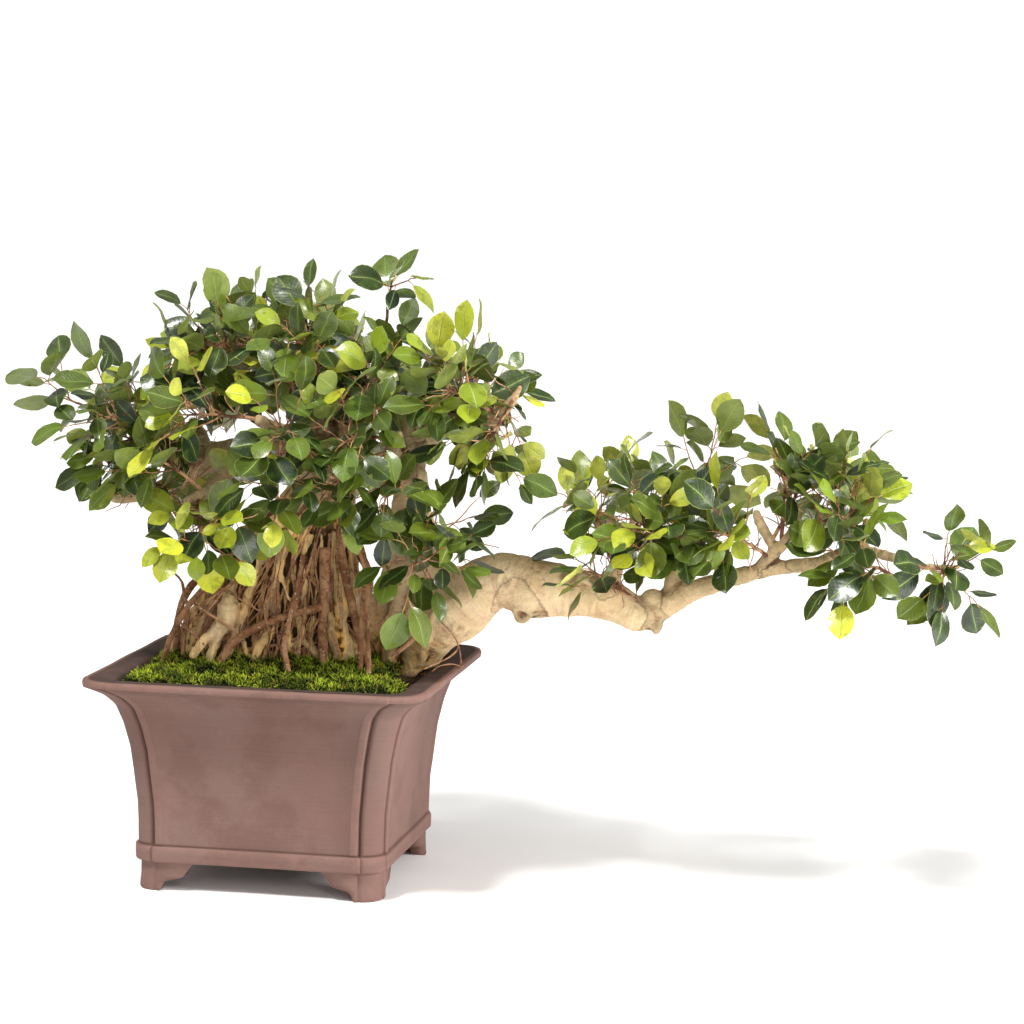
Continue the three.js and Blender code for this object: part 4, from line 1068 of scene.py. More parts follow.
def screen_mesh():
    """A square mesh plate with rows of square holes."""
    low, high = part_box("drain_screen")
    count, bar = 14, 1.2
    side = (high.x - low.x) / MM
    pitch = (side - bar) / count
    lines = []
    for i in range(count + 1):
        start = -side / 2 + i * pitch
        lines += [start, start + bar]
    shape = Shape()
    size = len(lines)
    for z in (low.z / MM, high.z / MM):
        shape.points += [Vector((x, y, z)) for y in lines for x in lines]
    top = size * size
    for j in range(size - 1):
        for i in range(size - 1):
            if i % 2 and j % 2:
                continue
            a = j * size + i
            quad = (a, a + 1, a + size + 1, a + size)
            shape.faces.append(quad[::-1])
            shape.faces.append(tuple(top + v for v in quad))
            for (p, q), (di, dj) in (((a, a + 1), (0, -1)), ((a + 1, a + size + 1), (1, 0)),
                                     ((a + size + 1, a + size), (0, 1)), ((a + size, a), (-1, 0))):
                ni, nj = i + di, j + dj
                edge = not (0 <= ni < size - 1 and 0 <= nj < size - 1)
                if edge or (ni % 2 and nj % 2):
                    shape.faces.append((p, q, top + q, top + p))
    return shape


class Growth(Nodes):
    """A geometry tree under way, with its named inputs."""

    def __init__(self, name, **inputs):
        super().__init__(bpy.data.node_groups.new(name, "GeometryNodeTree"))
        face = self.tree.interface
        for label, kind in {"geometry": "Geometry", **inputs}.items():
            face.new_socket(label, in_out="INPUT", socket_type="NodeSocket" + kind)
        face.new_socket("geometry", in_out="OUTPUT", socket_type="NodeSocketGeometry")
        self.entry = self.tree.nodes.new("NodeGroupInput")

    def given(self, *labels):
        """The values of inputs."""
        values = [Value(self.tree, self.entry.outputs[label]) for label in labels]
        return values if len(values) > 1 else values[0]

    def step(self, kind, **sockets):
        """A geometry node, its sockets named in small letters."""
        sockets = {key.replace("_", " ").title(): value for key, value in sockets.items()}
        return self.node(kind, {}, sockets)

    def marked(self, name):
        """What the points say under that name."""
        kind = MARK_KINDS.get(name, "FLOAT")
        return self.node("GeometryNodeInputNamedAttribute", {"data_type": kind}, {"Name": name},
                         "Attribute")

    def turned(self, angles):
        return self.node("FunctionNodeEulerToRotation", {}, {"Euler": angles})

    def picked(self, things):
        """A collection's things, each to be set out by itself."""
        return self.step("GeometryNodeCollectionInfo", collection=things,
                         separate_children=True, reset_children=True)

    def bars(self, sides, finish):
        """Turns the edges into round bars as thick as their points say."""
        curve = self.step("GeometryNodeMeshToCurve", mesh=self.given("geometry"))
        ring = self.step("GeometryNodeCurvePrimitiveCircle", resolution=sides, radius=1.0)
        bars = self.step("GeometryNodeCurveToMesh", curve=curve, profile_curve=ring,
                         scale=self.marked("thick"), fill_caps=True)
        soft = self.step("GeometryNodeSetShadeSmooth", geometry=bars)
        return self.step("GeometryNodeSetMaterial", geometry=soft, material=finish)

    def dressed(self, things, finish):
        """The things set out made real, with their finish."""
        real = self.step("GeometryNodeRealizeInstances", geometry=things)
        return self.step("GeometryNodeSetMaterial", geometry=real, material=finish)

    def ended(self, geometry):
        """The whole tree, with that geometry as its result."""
        leave = self.tree.nodes.new("NodeGroupOutput")
        self.tree.links.new(geometry.socket, leave.inputs[0])
        return self.tree


def grown(piece, tree, **values):
    """Runs a tree on a piece with the given inputs, and makes the result a plain mesh."""
    modifier = piece.modifiers.new(tree.name, "NODES")
    modifier.node_group = tree
    for item in tree.interface.items_tree:
        if item.in_out == "INPUT" and item.name in values:
            modifier[item.identifier] = values[item.name]
    return applied(piece)


def leafy_tree():
    """Twigs along the edges, and a leaf on each loose point, turned and sized as it says."""
    grow = Growth("leafy spray", leaves="Collection", twig_sides="Int", leaf_size="Float",
                  leaf_finish="Material", twig_finish="Material")
    twigs = grow.bars(*grow.given("twig_sides", "twig_finish"))
    reach = grow.marked("reach")
    grows = grow.node("FunctionNodeCompare", {"operation": "GREATER_THAN"}, {0: reach, 1: 0.0})
    blades = grow.step(
        "GeometryNodeInstanceOnPoints", points=grow.given("geometry"), selection=grows,
        instance=grow.picked(grow.given("leaves")), pick_instance=True,
        instance_index=grow.marked("form"), rotation=grow.turned(grow.marked("turn")),
        scale=reach * grow.given("leaf_size"))
    join = grow.step("GeometryNodeJoinGeometry", geometry=twigs)
    leaves = grow.dressed(blades, grow.given("leaf_finish"))
    grow.tree.links.new(leaves.socket, join.socket.node.inputs[0])
    return grow.ended(join)


def strand_tree():
    """Round roots or twigs along the edges, with knuckles and dents along them."""
    grow = Growth("strands", sides="Int", knuckles="Float", knuckle_size="Float",
                  finish="Material")
    bars = grow.bars(*grow.given("sides", "finish"))
    dents = grow.node("ShaderNodeTexNoise", {}, {"Scale": grow.given("knuckle_size")})
    push = grow.node("ShaderNodeVectorMath", {"operation": "SCALE"}, {
        0: grow.step("GeometryNodeInputNormal"), "Scale": (dents - 0.5) * grow.given("knuckles")})
    return grow.ended(grow.step("GeometryNodeSetPosition", geometry=bars, offset=push))


def scatter_tree():
    """Stands small things all over a surface, thicker where its points say so."""
    grow = Growth("scatter", things="Collection", spacing="Float", density="Float", size="Float",
                  lean="Float", seed="Int", finish="Material")
    geometry, spacing, density, lean, seed = grow.given(
        "geometry", "spacing", "density", "lean", "seed")
    spots = add_node(grow.tree, "GeometryNodeDistributePointsOnFaces",
                     {"distribute_method": "POISSON"}, {
                         "Mesh": geometry, "Distance Min": spacing, "Density Max": density,
                         "Density Factor": grow.marked("cover"), "Seed": seed})
    stray = grow.node("FunctionNodeRandomValue", {"data_type": "FLOAT_VECTOR"}, {
        "Seed": seed, 0: (-1, -1, -HALF_TURN), 1: (1, 1, HALF_TURN)})
    amounts = grow.node("ShaderNodeCombineXYZ", {}, {0: lean, 1: lean, 2: 1.0})
    tilt = grow.node("ShaderNodeVectorMath", {"operation": "MULTIPLY"}, {0: stray, 1: amounts})
    turn = grow.node("FunctionNodeRotateRotation", {"rotation_space": "LOCAL"}, {
        "Rotation": Value(grow.tree, spots.outputs["Rotation"]), "Rotate By": grow.turned(tilt)})
    spread = grow.node("FunctionNodeRandomValue", {"data_type": "FLOAT"}, {
        "Seed": seed, 2: 0.5, 3: 1.5}, output=1)
    planted = grow.step(
        "GeometryNodeInstanceOnPoints", points=Value(grow.tree, spots.outputs[0]),
        instance=grow.picked(grow.given("things")), pick_instance=True, rotation=turn,
        scale=spread * grow.given("size"))
    shade = grow.node("FunctionNodeRandomValue", {"data_type": "FLOAT"}, {"Seed": 5}, output=1)
    tinted = grow.node(
        "GeometryNodeStoreNamedAttribute", {"data_type": "FLOAT", "domain": "INSTANCE"},
        {"Geometry": planted, "Name": "tint", "Value": shade})
    return grow.ended(grow.dressed(tinted, grow.given("finish")))


def moss_growth(point):
    """How thickly moss shoots stand at a place: none inside the roots or down the sides."""
    x, y, z = point
    inside = any(math.hypot((x - mid_x) / wide, (y - mid_y) / deep) < 1
                 for mid_x, mid_y, wide, deep in ROOT_FEET)
    top = z > mound_height(share_out(x, y)) - 1.5
    return moss_cover(x, y) if top and not inside else 0.0


def scattered_stones(size):
    """Three layers of drainage stones, in the space between the pot's floor and the soil."""
    source = random.Random(STONE_SEED)
    points, turn, reach, form, tint = [], [], [], [], []
    pitch = 0.95 * size / MM
    for layer in range(3):
        height = POT_FLOOR_TOP + 5.8 + layer * (GRAVEL_TOP - POT_FLOOR_TOP - 11.5) / 2
        half = read_row(POT_HOLLOW, height)[0] - 0.6 * size / MM
        count = math.floor(2 * half / pitch)
        for i in range(count + 1):
            for j in range(count + 1):
                x = (2 * i / count - 1) * half + source.uniform(-1.5, 1.5) * (0 < i < count)
                y = (2 * j / count - 1) * half + source.uniform(-1.5, 1.5) * (0 < j < count)
                if layer == 0 and max(abs(x), abs(y)) < 34:
                    continue
                points.append((x, y, height + source.uniform(-0.6, 0.6)))
                turn.append([source.uniform(-HALF_TURN, HALF_TURN) for _ in range(3)])
                reach.append(source.uniform(0.8, 1.05))
                form.append(source.randrange(4))
                tint.append(source.random())
    piece = marked_piece("drain_stones", points, [], turn=turn, form=form, reach=reach, tint=tint)
    return grown(piece, tree_named("leafy spray", leafy_tree),
                 leaves=collection_of("stones", drain_stone, 4), twig_sides=3, leaf_size=size,
                 leaf_finish=finish_named("stone"), twig_finish=finish_named("stone"))


def tree_named(name, maker):
    """The node tree of that name, made the first time that it is asked for."""
    return bpy.data.node_groups.get(name) or maker()


def collection_of(name, maker, count):
    """A collection of small things to set out, made once and kept out of the scene."""
    found = bpy.data.collections.get(name)
    if found:
        return found
    collection = bpy.data.collections.new(name)
    for index in range(count):
        collection.objects.link(maker(index))
    return collection


def strands_piece(name, runs, sides, knuckles, knuckle_size):
    """Runs of (points, radii) in millimetres as one piece of round roots."""
    points, edges, thick, fresh = [], [], [], []
    for run, radii in runs:
        first = len(points)
        points += run
        thick += [radius * MM for radius in radii]
        fresh += [i / (len(run) - 1) for i in range(len(run))]
        edges += [(first + i, first + i + 1) for i in range(len(run) - 1)]
    return grown(marked_piece(name, points, edges, thick=thick, fresh=fresh),
                 tree_named("strands", strand_tree), sides=sides, knuckles=knuckles * MM,
                 knuckle_size=knuckle_size, finish=finish_named("aerial_root"))


# Share of the blade's length, and half-breadth there as a share of the length.
BLADE_ROWS = [
    (0.03, 0.06), (0.12, 0.165), (0.27, 0.265), (0.45, 0.325), (0.63, 0.318), (0.79, 0.24),
    (0.9, 0.135), (0.965, 0.045),
]
BLADE_THICKNESS = 0.014
LEAF_FORMS = 9
PETIOLE_RADIUS = 0.016


def leaf_blade(form):
    """One leaf, its petiole's root at the origin, 1 long from the blade's base to its tip."""
    source = random.Random(BLADE_SEED + form)
    fold = source.uniform(0.08, 0.42)
    sag = source.uniform(0.02, 0.3)
    twist = source.uniform(-0.4, 0.4)
    broad = source.uniform(0.86, 1.2)
    sway = source.uniform(-0.08, 0.08)
    points, faces, spread = [], [], []

    def place(across, along):
        lift = fold * abs(across) - sag * along ** 2
        lift += 0.02 * math.sin(9 * along + 5 * across + form) - 0.5 * across ** 2
        turn = twist * along
        x, z = across * math.cos(turn), lift + across * math.sin(turn)
        return Vector((x + sway * along ** 2, PETIOLE_SHARE + along, z))

    base, tip = 0, 1
    points += [place(0, 0), place(0, 1.0)]
    for along, half in BLADE_ROWS:
        half *= broad
        for part in (-1, -0.5, 0, 0.5, 1):
            points.append(place(part * half, along))
        points.append(place(0, along) - UP * BLADE_THICKNESS)
    ring = 6
    shares = [along for along, _ in BLADE_ROWS]

    def corner(row, step, under):
        index = 2 + row * ring + step
        part = 0 if step == 5 else (-1, -0.5, 0, 0.5, 1)[step]
        return index, (0.5 + 0.5 * part + (2 if under else 0), shares[row])

    def add(corners):
        faces.append([index for index, _ in corners])
        spread.extend(uv for _, uv in corners)

    for left in range(ring):
        right, under = (left + 1) % ring, left > 3
        middle = 0.5 + (2 if under else 0)
        add([(base, (middle, 0)), corner(0, right, under), corner(0, left, under)])
        for row in range(len(BLADE_ROWS) - 1):
            add([corner(row, left, under), corner(row, right, under),
                 corner(row + 1, right, under), corner(row + 1, left, under)])
        last = len(BLADE_ROWS) - 1
        add([corner(last, left, under), corner(last, right, under), (tip, (middle, 1))])
    stalk = len(points)
    for along, lift in ((0, 0), (PETIOLE_SHARE * 0.55, 0.012), (PETIOLE_SHARE + 0.04, 0.002)):
        for k in range(3):
            angle = 2 * math.pi * k / 3
            points.append(Vector((PETIOLE_RADIUS * math.cos(angle), along,
                                  lift + PETIOLE_RADIUS * math.sin(angle) - 0.012)))
    for j in range(2):
        for k in range(3):
            low, high = stalk + 3 * j, stalk + 3 * j + 3
            quad = [low + (k + 1) % 3, low + k, high + k, high + (k + 1) % 3]
            add([(index, (0.5, -0.1)) for index in quad])
    add([(stalk + k, (0.5, -0.1)) for k in (0, 1, 2)])
    add([(stalk + 6 + k, (0.5, -0.1)) for k in (2, 1, 0)])
    mesh = bpy.data.meshes.new("blade")
    mesh.from_pydata([tuple(p) for p in points], [], faces)
    mesh.shade_smooth()
    layer = mesh.uv_layers.new(name="blade")
    layer.data.foreach_set("uv", [value for pair in spread for value in pair])
    sharp_rim(mesh)
    return bpy.data.objects.new("blade_%d" % form, mesh)


def sharp_rim(mesh):
    """Marks the edge all round a blade as sharp, so that its two sides shade apart."""
    for edge in mesh.edges:
        low, high = sorted(edge.vertices)
        last = 2 + 6 * len(BLADE_ROWS)
        steps = {(v - 2) % 6 for v in (low, high) if 2 <= v < last}
        if high < last and (steps == {0} or steps == {4}):
            edge.use_edge_sharp = True


class Draws:
    """A run of random numbers that is the same for a spray each time."""

    size = 2 ** 32

    def __init__(self, seed):
        self.state = seed
        self.next()

    def next(self):
        self.state = (self.state * 1664525 + 1013904223) % self.size
        return self.state / self.size

    def between(self, low, high):
        return low + (high - low) * self.next()


def level_part(vector, axis):
    """What is left of a vector without its part along an axis."""
    return vector - axis * vector.dot(axis)


def sidewise(along, turn):
    """A unit vector square to a direction, turned round it from the level one."""
    level = along.cross(UP)
    if level.length_squared < 0.01:
        level = level_part(Vector((1, 0, 0)), along)
    level.normalize()
    return level * math.cos(turn) + level.cross(along) * math.sin(turn)


def spring_point(limb, tip):
    """Where a spray leaves its limb: about its usual length from its tip."""
    route = Route(LIMBS[limb])
    best = None
    for step in range(8, 41):
        point = route.at(step / 40)
        way = tip - point
        level = way.normalized().dot(route.along(step / 40))
        along = 0 if step == 40 else max(0, level - 0.6)
        miss = abs(way.length - SPRAY_REACH) + 150 * along + 0.4 * max(0, -way.z)
        if best is None or miss < best[0]:
            best = (miss, point)
    return best[1]


def leaves_on(path, bare, outward, draws):
    """Leaves stand alternately along a shoot, face the light, and end in one at the tip."""
    count = max(2, math.floor(path.length() * (1 - bare) / LEAF_SPACING))
    first = draws.between(0, 2 * math.pi)
    leaves = []
    for k in range(count + 1):
        share = bare + (1 - bare) * (k / count) ** LEAF_CROWDING
        along = path.along(share)
        opening = 0.15 if k == count else 1.15 + (0.7 - 1.15) * k / count
        side = sidewise(along, first + k * GOLDEN_TURN)
        heading = along * math.cos(opening) + side * math.sin(opening)
        heading = (heading - UP * draws.between(0, 0.45)).normalized()
        facing = UP * 0.7 + outward * 0.65 + sidewise(UP, draws.between(0, 2 * math.pi)) * 0.4
        facing = level_part(facing, heading).normalized()
        length = LEAF_LENGTH * draws.between(0.62, 1.16)
        draws.next()
        draws.next()
        leaves.append((path.at(share), heading, facing, length, k / count))
    return leaves


def grow_spray(index, limb, x, y, z, count=SHOOTS_PER_SPRAY):
    """The stem, side shoots and leaves of a spray: paths with their leaves."""
    draws = Draws(SPRAY_SEED * (index + 1))
    tip = Vector((x, y, z))
    start = spring_point(limb, tip)
    reach = (tip - start).length
    sway = sidewise((tip - start).normalized(), draws.between(0, 2 * math.pi))
    bend = start.lerp(tip, 0.5) + UP * (0.14 * reach) + sway * (0.1 * reach)
    stem = Arc(start, bend, tip)
    outward = level_part(tip - start, UP).normalized()
    turn = draws.between(0, 2 * math.pi)
    shoots = [(stem, leaves_on(stem, 0.6, outward, draws))]
    for i in range(count):
        share = 0.88 + (0.4 - 0.88) * i / (SHOOTS_PER_SPRAY - 1)
        along = stem.along(share)
        heading = along * math.cos(SHOOT_ANGLE)
        heading += sidewise(along, turn + i * GOLDEN_TURN) * math.sin(SHOOT_ANGLE)
        heading = (heading + UP * 0.22).normalized()
        length = SHOOT_LENGTH * draws.between(0.7, 1.2) * (1.25 - 0.4 * share)
        base = stem.at(share)
        end = base + heading * length + UP * (0.1 * length)
        path = Arc(base, base + heading * (length * 0.5), end)
        shoots.append((path, leaves_on(path, 0.25, outward, draws)))
    return shoots


def turned_to(heading, facing):
    """The turn that lays a leaf along its heading with its top to its facing."""
    side = heading.cross(facing)
    return Matrix((side, heading, facing)).transposed().to_euler()


def clear_of(solids, start, heading, length):
    """Whether a leaf's blade stays out of the wood, the pot and the moss."""
    blade = start + heading * (0.3 * length)
    for solid in solids:
        if solid.ray_cast(placed(*blade), heading, length * MM)[0] is not None:
            return False
        far = placed(*(start + heading * (0.8 * length)))
        if solid.find_nearest(far, LEAF_CLEARANCE)[0] is not None:
            return False
    return True


def bare_twigs(stem, count, source):
    """Kinked twigs that have lost their leaves, as points with their radius."""
    twigs = []
    for _ in range(count):
        spot = stem.at(source.uniform(0.15, 0.85))
        along = stem.along(0.5)
        way = sidewise(along, source.uniform(0, 6.28)) + along * source.uniform(0, 1)
        length = source.uniform(6, 10)
        twig = [(spot, 0.75)]
        for step in range(source.choice((2, 3, 4))):
            stray = Vector([source.uniform(-0.6, 0.6) for _ in range(3)])
            way = (way.normalized() + stray + UP * 0.12).normalized()
            spot = spot + way * length
            twig.append((spot, 0.62 - 0.09 * step))
        twigs.append(twig)
    return twigs


def add_spray(index, row, sizes, solids):
    """One leafy spray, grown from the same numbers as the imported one."""
    shoots = grow_spray(index, *row)
    source = random.Random(TWIG_SEED + index)
    runs = []
    for order, (path, _) in enumerate(shoots):
        wide, narrow, young, steps = SHOOT_MAKE if order else STEM_MAKE
        kinks = [Vector([source.uniform(-1, 1) for _ in range(3)]) * (0 < i < steps - 1)
                 for i in range(steps)]
        runs.append([(path.at(i / (steps - 1)) + kinks[i] * 0.7,
                      wide + (narrow - wide) * i / (steps - 1), young * i / (steps - 1))
                     for i in range(steps)])
    for twig in bare_twigs(shoots[0][0], round(sizes.bare_twigs * (len(shoots) > 4)), source):
        runs.append([(point, radius, 0.3) for point, radius in twig])
    points, edges, thick, fresh = [], [], [], []
    for run in runs:
        first = len(points)
        for point, radius, young in run:
            points.append(point)
            thick.append(radius * MM)
            fresh.append(young)
        edges += [(first + i, first + i + 1) for i in range(len(run) - 1)]
    reach = [0.0] * len(points)
    turn = [(0.0, 0.0, 0.0)] * len(points)
    tint, youth, form = [0.0] * len(points), [0.0] * len(points), [0] * len(points)
    flush = source.random() < sizes.young_shoots
    for path, leaves in shoots:
        young_shoot = source.random() < (0.6 if flush else 0.12)
        for start, heading, facing, length, share in leaves:
            age = source.random()
            mark = source.random()
            kind = source.randrange(LEAF_FORMS)
            dropped = source.random() < sizes.fallen * (1 - share)
            if dropped or not clear_of(solids, start, heading, length):
                continue
            points.append(start)
            thick.append(0.0)
            fresh.append(0.0)
            reach.append(length)
            turn.append(tuple(turned_to(heading, facing)))
            tint.append(mark)
            young = max(0.0, min(1.0, 1.25 * share - 0.35 * age))
            youth.append(young if young_shoot else 0.12 * age)
            form.append(kind)
    name = "foliage_%02d" % (index + 1)
    piece = marked_piece(name, points, edges, thick=thick, fresh=fresh, reach=reach, tint=tint,
                         youth=youth, turn=turn, form=form)
    blades = collection_of("leaves", leaf_blade, LEAF_FORMS)
    grown(piece, tree_named("leafy spray", leafy_tree), leaves=blades, twig_sides=5,
          leaf_size=sizes.leaf_size * MM, leaf_finish=finish_named("leaf_blade"),
          twig_finish=finish_named("leaf_twig"))
    return keep(piece, "leaf", "leafy_spray_%02d" % (index + 1))


# Roots fused to the outside of the mass that stand out from it: points and radius.
KNOB_ROOT = [(-50, -34, 281, 6), (-51, -40, 276, 9), (-51, -43, 269, 11), (-51, -45, 262, 11.3),
    (-54, -46, 255, 9.5), (-61, -48, 248, 6), (-69, -52, 242, 4.6), (-76, -55, 235, 4.2),
    (-84, -57, 223, 4.4)]
KNOB_LEG = [(-54, -45, 258, 8), (-58, -47, 248, 6), (-61, -50, 240, 5), (-64, -53, 231, 4.6),
    (-67, -54, 217, 5)]
# Flutes that run down the buttress into the soil: points and radius.
BUTTRESS_FLUTES = [
    [(118, -8, 300, 8), (112, -6, 270, 10), (106, 6, 240, 11), (100, 16, 206, 11)],
    [(132, -14, 288, 8), (130, -12, 262, 10), (126, 2, 234, 11), (120, 16, 206, 10)],
    [(104, 6, 330, 7), (98, 10, 290, 9), (94, 22, 246, 10), (92, 34, 206, 9)],
    [(152, -20, 270, 7), (144, -14, 248, 8), (134, 4, 226, 8), (126, 18, 208, 7)],
]
# A cavity between the mass and the buttress, carved in and darkened by painted shadow: its middle,
# half its width and height.
CAVITY = ((92, -40, 278), 13, 34)
# Limbs thinner than this have the brown bark of twigs, and are all brown when so much thinner.
SLIM_LIMB, SLIM_EASE = 13.5, 6
# How far to the right of the pot, in metres, the bark starts to brown: partly the colour of
# thinner wood, partly painted shade.
FAR_LIMB = 0.16
# Points along a thin root stand about this far apart.
STRAND_STEP = 3.0
# One fused root in so many lies across the others.
CROSSING_EVERY = 6
# The rings on the bark start this much further on from one limb to the next.
LIMB_SHIFT = 137
# Places of old branch scars on the limbs, with their size and depth.
SCARS = [
    (223, -32, 308, 9, 2.2), (353, -24, 288, 7, 1.6), (386, -14, 298, 7, 1.5),
    (240, -22, 274, 8, 2.6), (178, -24, 255, 7, 2.2), (372, -14, 261, 6, 2.4),
]


def mass_point(angle, height, out=0.0):
    """A point on the root mass, by the angle from its front and the height."""
    x, y, wide, deep = read_row(ROOT_MASS, height)
    return Vector((x + (wide + out) * math.sin(angle), y - (deep + out) * math.cos(angle), height))


def mass_folds(angle, height):
    """How far the mass swells and sinks between its old roots, in millimetres."""
    wander = angle + 0.16 * noise.noise(Vector((math.sin(angle), math.cos(angle), height / 55)))
    place = Vector((75 * math.sin(wander), 75 * math.cos(wander), height * 0.11))
    thin = min(1, max(0.35, (440 - height) / 130))
    return thin * (12 * abs(noisy(place, 13)) + 5 * abs(noisy(place, 6.5, 3)) - 7.5)


def fused_root(index, angle, source):
    """One old root on the mass, from the trunk down into the soil: points and radius."""
    crossing = index % CROSSING_EVERY == CROSSING_EVERY - 1
    top = source.uniform(270, 345) if crossing else source.uniform(300, 408)
    if crossing:
        drift = source.choice((-1, 1)) * source.uniform(0.5, 1.0)
    else:
        drift = source.gauss(0, 0.13)
    thick = 2.6 if crossing else 2.0 + 5.2 * source.random() ** 2
    stand = 3.0 if crossing else source.uniform(-1.5, 2.0)
    rows = []
    for step in range(13):
        share = step / 12
        height = top + (197 - top) * share
        turn = angle + drift * share + 0.12 * noisy((index * 31, height, 0), 34)
        out = stand + 4 * noisy((index * 17, height, 9), 30) + 4 * share ** 3
        swell = 1 + 0.25 * noisy((index * 23, height, 4), 16)
        rows.append((*mass_point(turn, height, out), thick * (0.75 + 0.4 * share) * swell))
    return rows


def make_mass_shape(sizes):
    """The root mass: its core, and the old roots that have grown together over it."""
    shape = Shape()
    rings = []
    sides = 200
    for height in np.arange(188, 434.1, 2.5):
        ring = []
        for k in range(sides):
            angle = 2 * math.pi * k / sides
            ring.append(mass_point(angle, float(height), mass_folds(angle, float(height))))
        rings.append(ring)
    shape.add_outward(rings)
    source = random.Random(MASS_SEED)
    for i in range(sizes.fused_roots):
        angle = 2 * math.pi * (i + source.uniform(-0.4, 0.4)) / sizes.fused_roots
        add_limb(shape, fused_root(i, angle, source), 2.5, 0.16, i)
    for rows in (KNOB_ROOT, KNOB_LEG):
        add_limb(shape, rows, 2.5, 0.1, 3)
    return shape


def make_limbs_shape():
    """The trunks, the long branch and the limbs, with the flutes of the buttress."""
    shape = Shape()
    for i, rows in enumerate(LIMBS.values()):
        add_limb(shape, rows, 4.0, 0.09, i * 3.7)
    for i, rows in enumerate(BUTTRESS_FLUTES):
        add_limb(shape, rows, 3.0, 0.12, 50 + i)
    return shape


def add_limb(shape, rows, spacing, lumps, seed):
    """A tube along a route, its ends rounded off."""
    route = Route(rows)
    steps = max(6, round(route.length() / spacing))
    shares = [i / steps for i in range(steps + 1)]
    points = [route.at(s) for s in shares]
    radii = [route.radius(s) for s in shares]
    for index, way in ((0, -1), (-1, 1)):
        along = route.along(shares[index]) * (way * radii[index])
        cap = [(points[index] + along * math.sin(angle), radii[index] * math.cos(angle))
               for angle in (0.6, 1.15)]
        if way < 0:
            points = [p for p, _ in reversed(cap)] + points
            radii = [r for _, r in reversed(cap)] + radii
        else:
            points += [p for p, _ in cap]
            radii += [r for _, r in cap]
    rings = tube_rings(points, radii, max(8, min(28, round(max(radii) * 1.4))), lumps, seed)
    shape.add_outward(rings)


def eased(points, pairs, rounds):
    """Points drawn towards their neighbours, many times over."""
    count = np.zeros(len(points))
    np.add.at(count, pairs.ravel(), 1)
    for _ in range(rounds):
        total = np.zeros_like(points)
        np.add.at(total, pairs[:, 0], points[pairs[:, 1]])
        np.add.at(total, pairs[:, 1], points[pairs[:, 0]])
        points = points * 0.5 + 0.5 * total / count[:, None]
    return points


def limb_lines():
    """Points close together along every limb, with how far along it each one lies."""
    tree = KDTree(sum(round(Route(rows).length() / 2) + 1 for rows in LIMBS.values()))
    lengths, radii, count = [], [], 0
    for number, rows in enumerate(LIMBS.values()):
        route = Route(rows)
        steps = round(route.length() / 2)
        for step in range(steps + 1):
            tree.insert(route.at(step / steps), count)
            lengths.append(step / steps * route.length() + LIMB_SHIFT * number)
            radii.append(route.radius(step / steps))
            count += 1
    tree.balance()
    return tree, lengths, radii


def in_cavity(place):
    """1 in the middle of the cavity beside the buttress, falling to 0 round it, for its carving
    and its painted shadow.
    """
    middle, wide, high = CAVITY
    away = ((place.x - middle[0]) / wide) ** 2 + ((place.z - middle[2]) / high) ** 2
    return math.exp(-away ** 2) if place.y < 0 else 0.0


def carve_bark(mesh, sizes, mass):
    """Wrinkles, lumps and scars on the wood, in millimetres along its normals."""
    points = coordinates(mesh)
    normals = normals_of(mesh)
    middle = np.array(POT_MIDDLE)
    push, runs, slim = (np.zeros(len(points)) for _ in range(3))
    scars = [(Vector(scar[:3]), scar[3], scar[4]) for scar in SCARS]
    tree, lengths, radii = limb_lines()
    for i, point in enumerate((points - middle) / MM):
        place = Vector(point)
        if mass:
            runs[i] = place.z
            fold = abs(noisy((place.x, place.y, place.z * 0.22), 6, 7))
            push[i] = 2.6 * (fold - 0.2) + 0.9 * noisy(place, 4.5, 1) + 1.1 * noisy(place, 13, 8)
            push[i] -= 13 * in_cavity(place)
            continue
        nearest = tree.find(place)[1]
        run = runs[i] = lengths[nearest]
        slim[i] = min(1, max(0, (SLIM_LIMB - radii[nearest]) / SLIM_EASE))
        rings = noisy((run, place.y * 0.12, place.z * 0.12), 5.5, 4)
        crease = abs(noisy((run, place.y * 0.3, place.z * 0.3), 17, 11))
        push[i] = 0.7 * rings + 0.5 * noisy(place, 4.5, 1) + 1.6 * noisy(place, 20, 8)
        push[i] -= 0.5 * max(0, 0.09 - crease) / 0.09
        for centre, size, depth in scars:
            away = (place - centre).length / size
            if away < 2:
                push[i] += depth * (0.9 * math.exp(-((away - 0.95) / 0.3) ** 2)
                                    - 1.5 * math.exp(-(away / 0.55) ** 2))
    points += normals * (push * MM * sizes.bark_relief)[:, None]
    mesh.vertices.foreach_set("co", np.asarray(points, np.float32).ravel())
    mesh.update()
    mark_points(mesh, "run", runs * MM)
    mark_points(mesh, "slim", slim)


def ramp(values, low, high):
    """0 at low and 1 at high, straight between; low may be above high."""
    return np.clip((values - low) / (high - low), 0, 1)


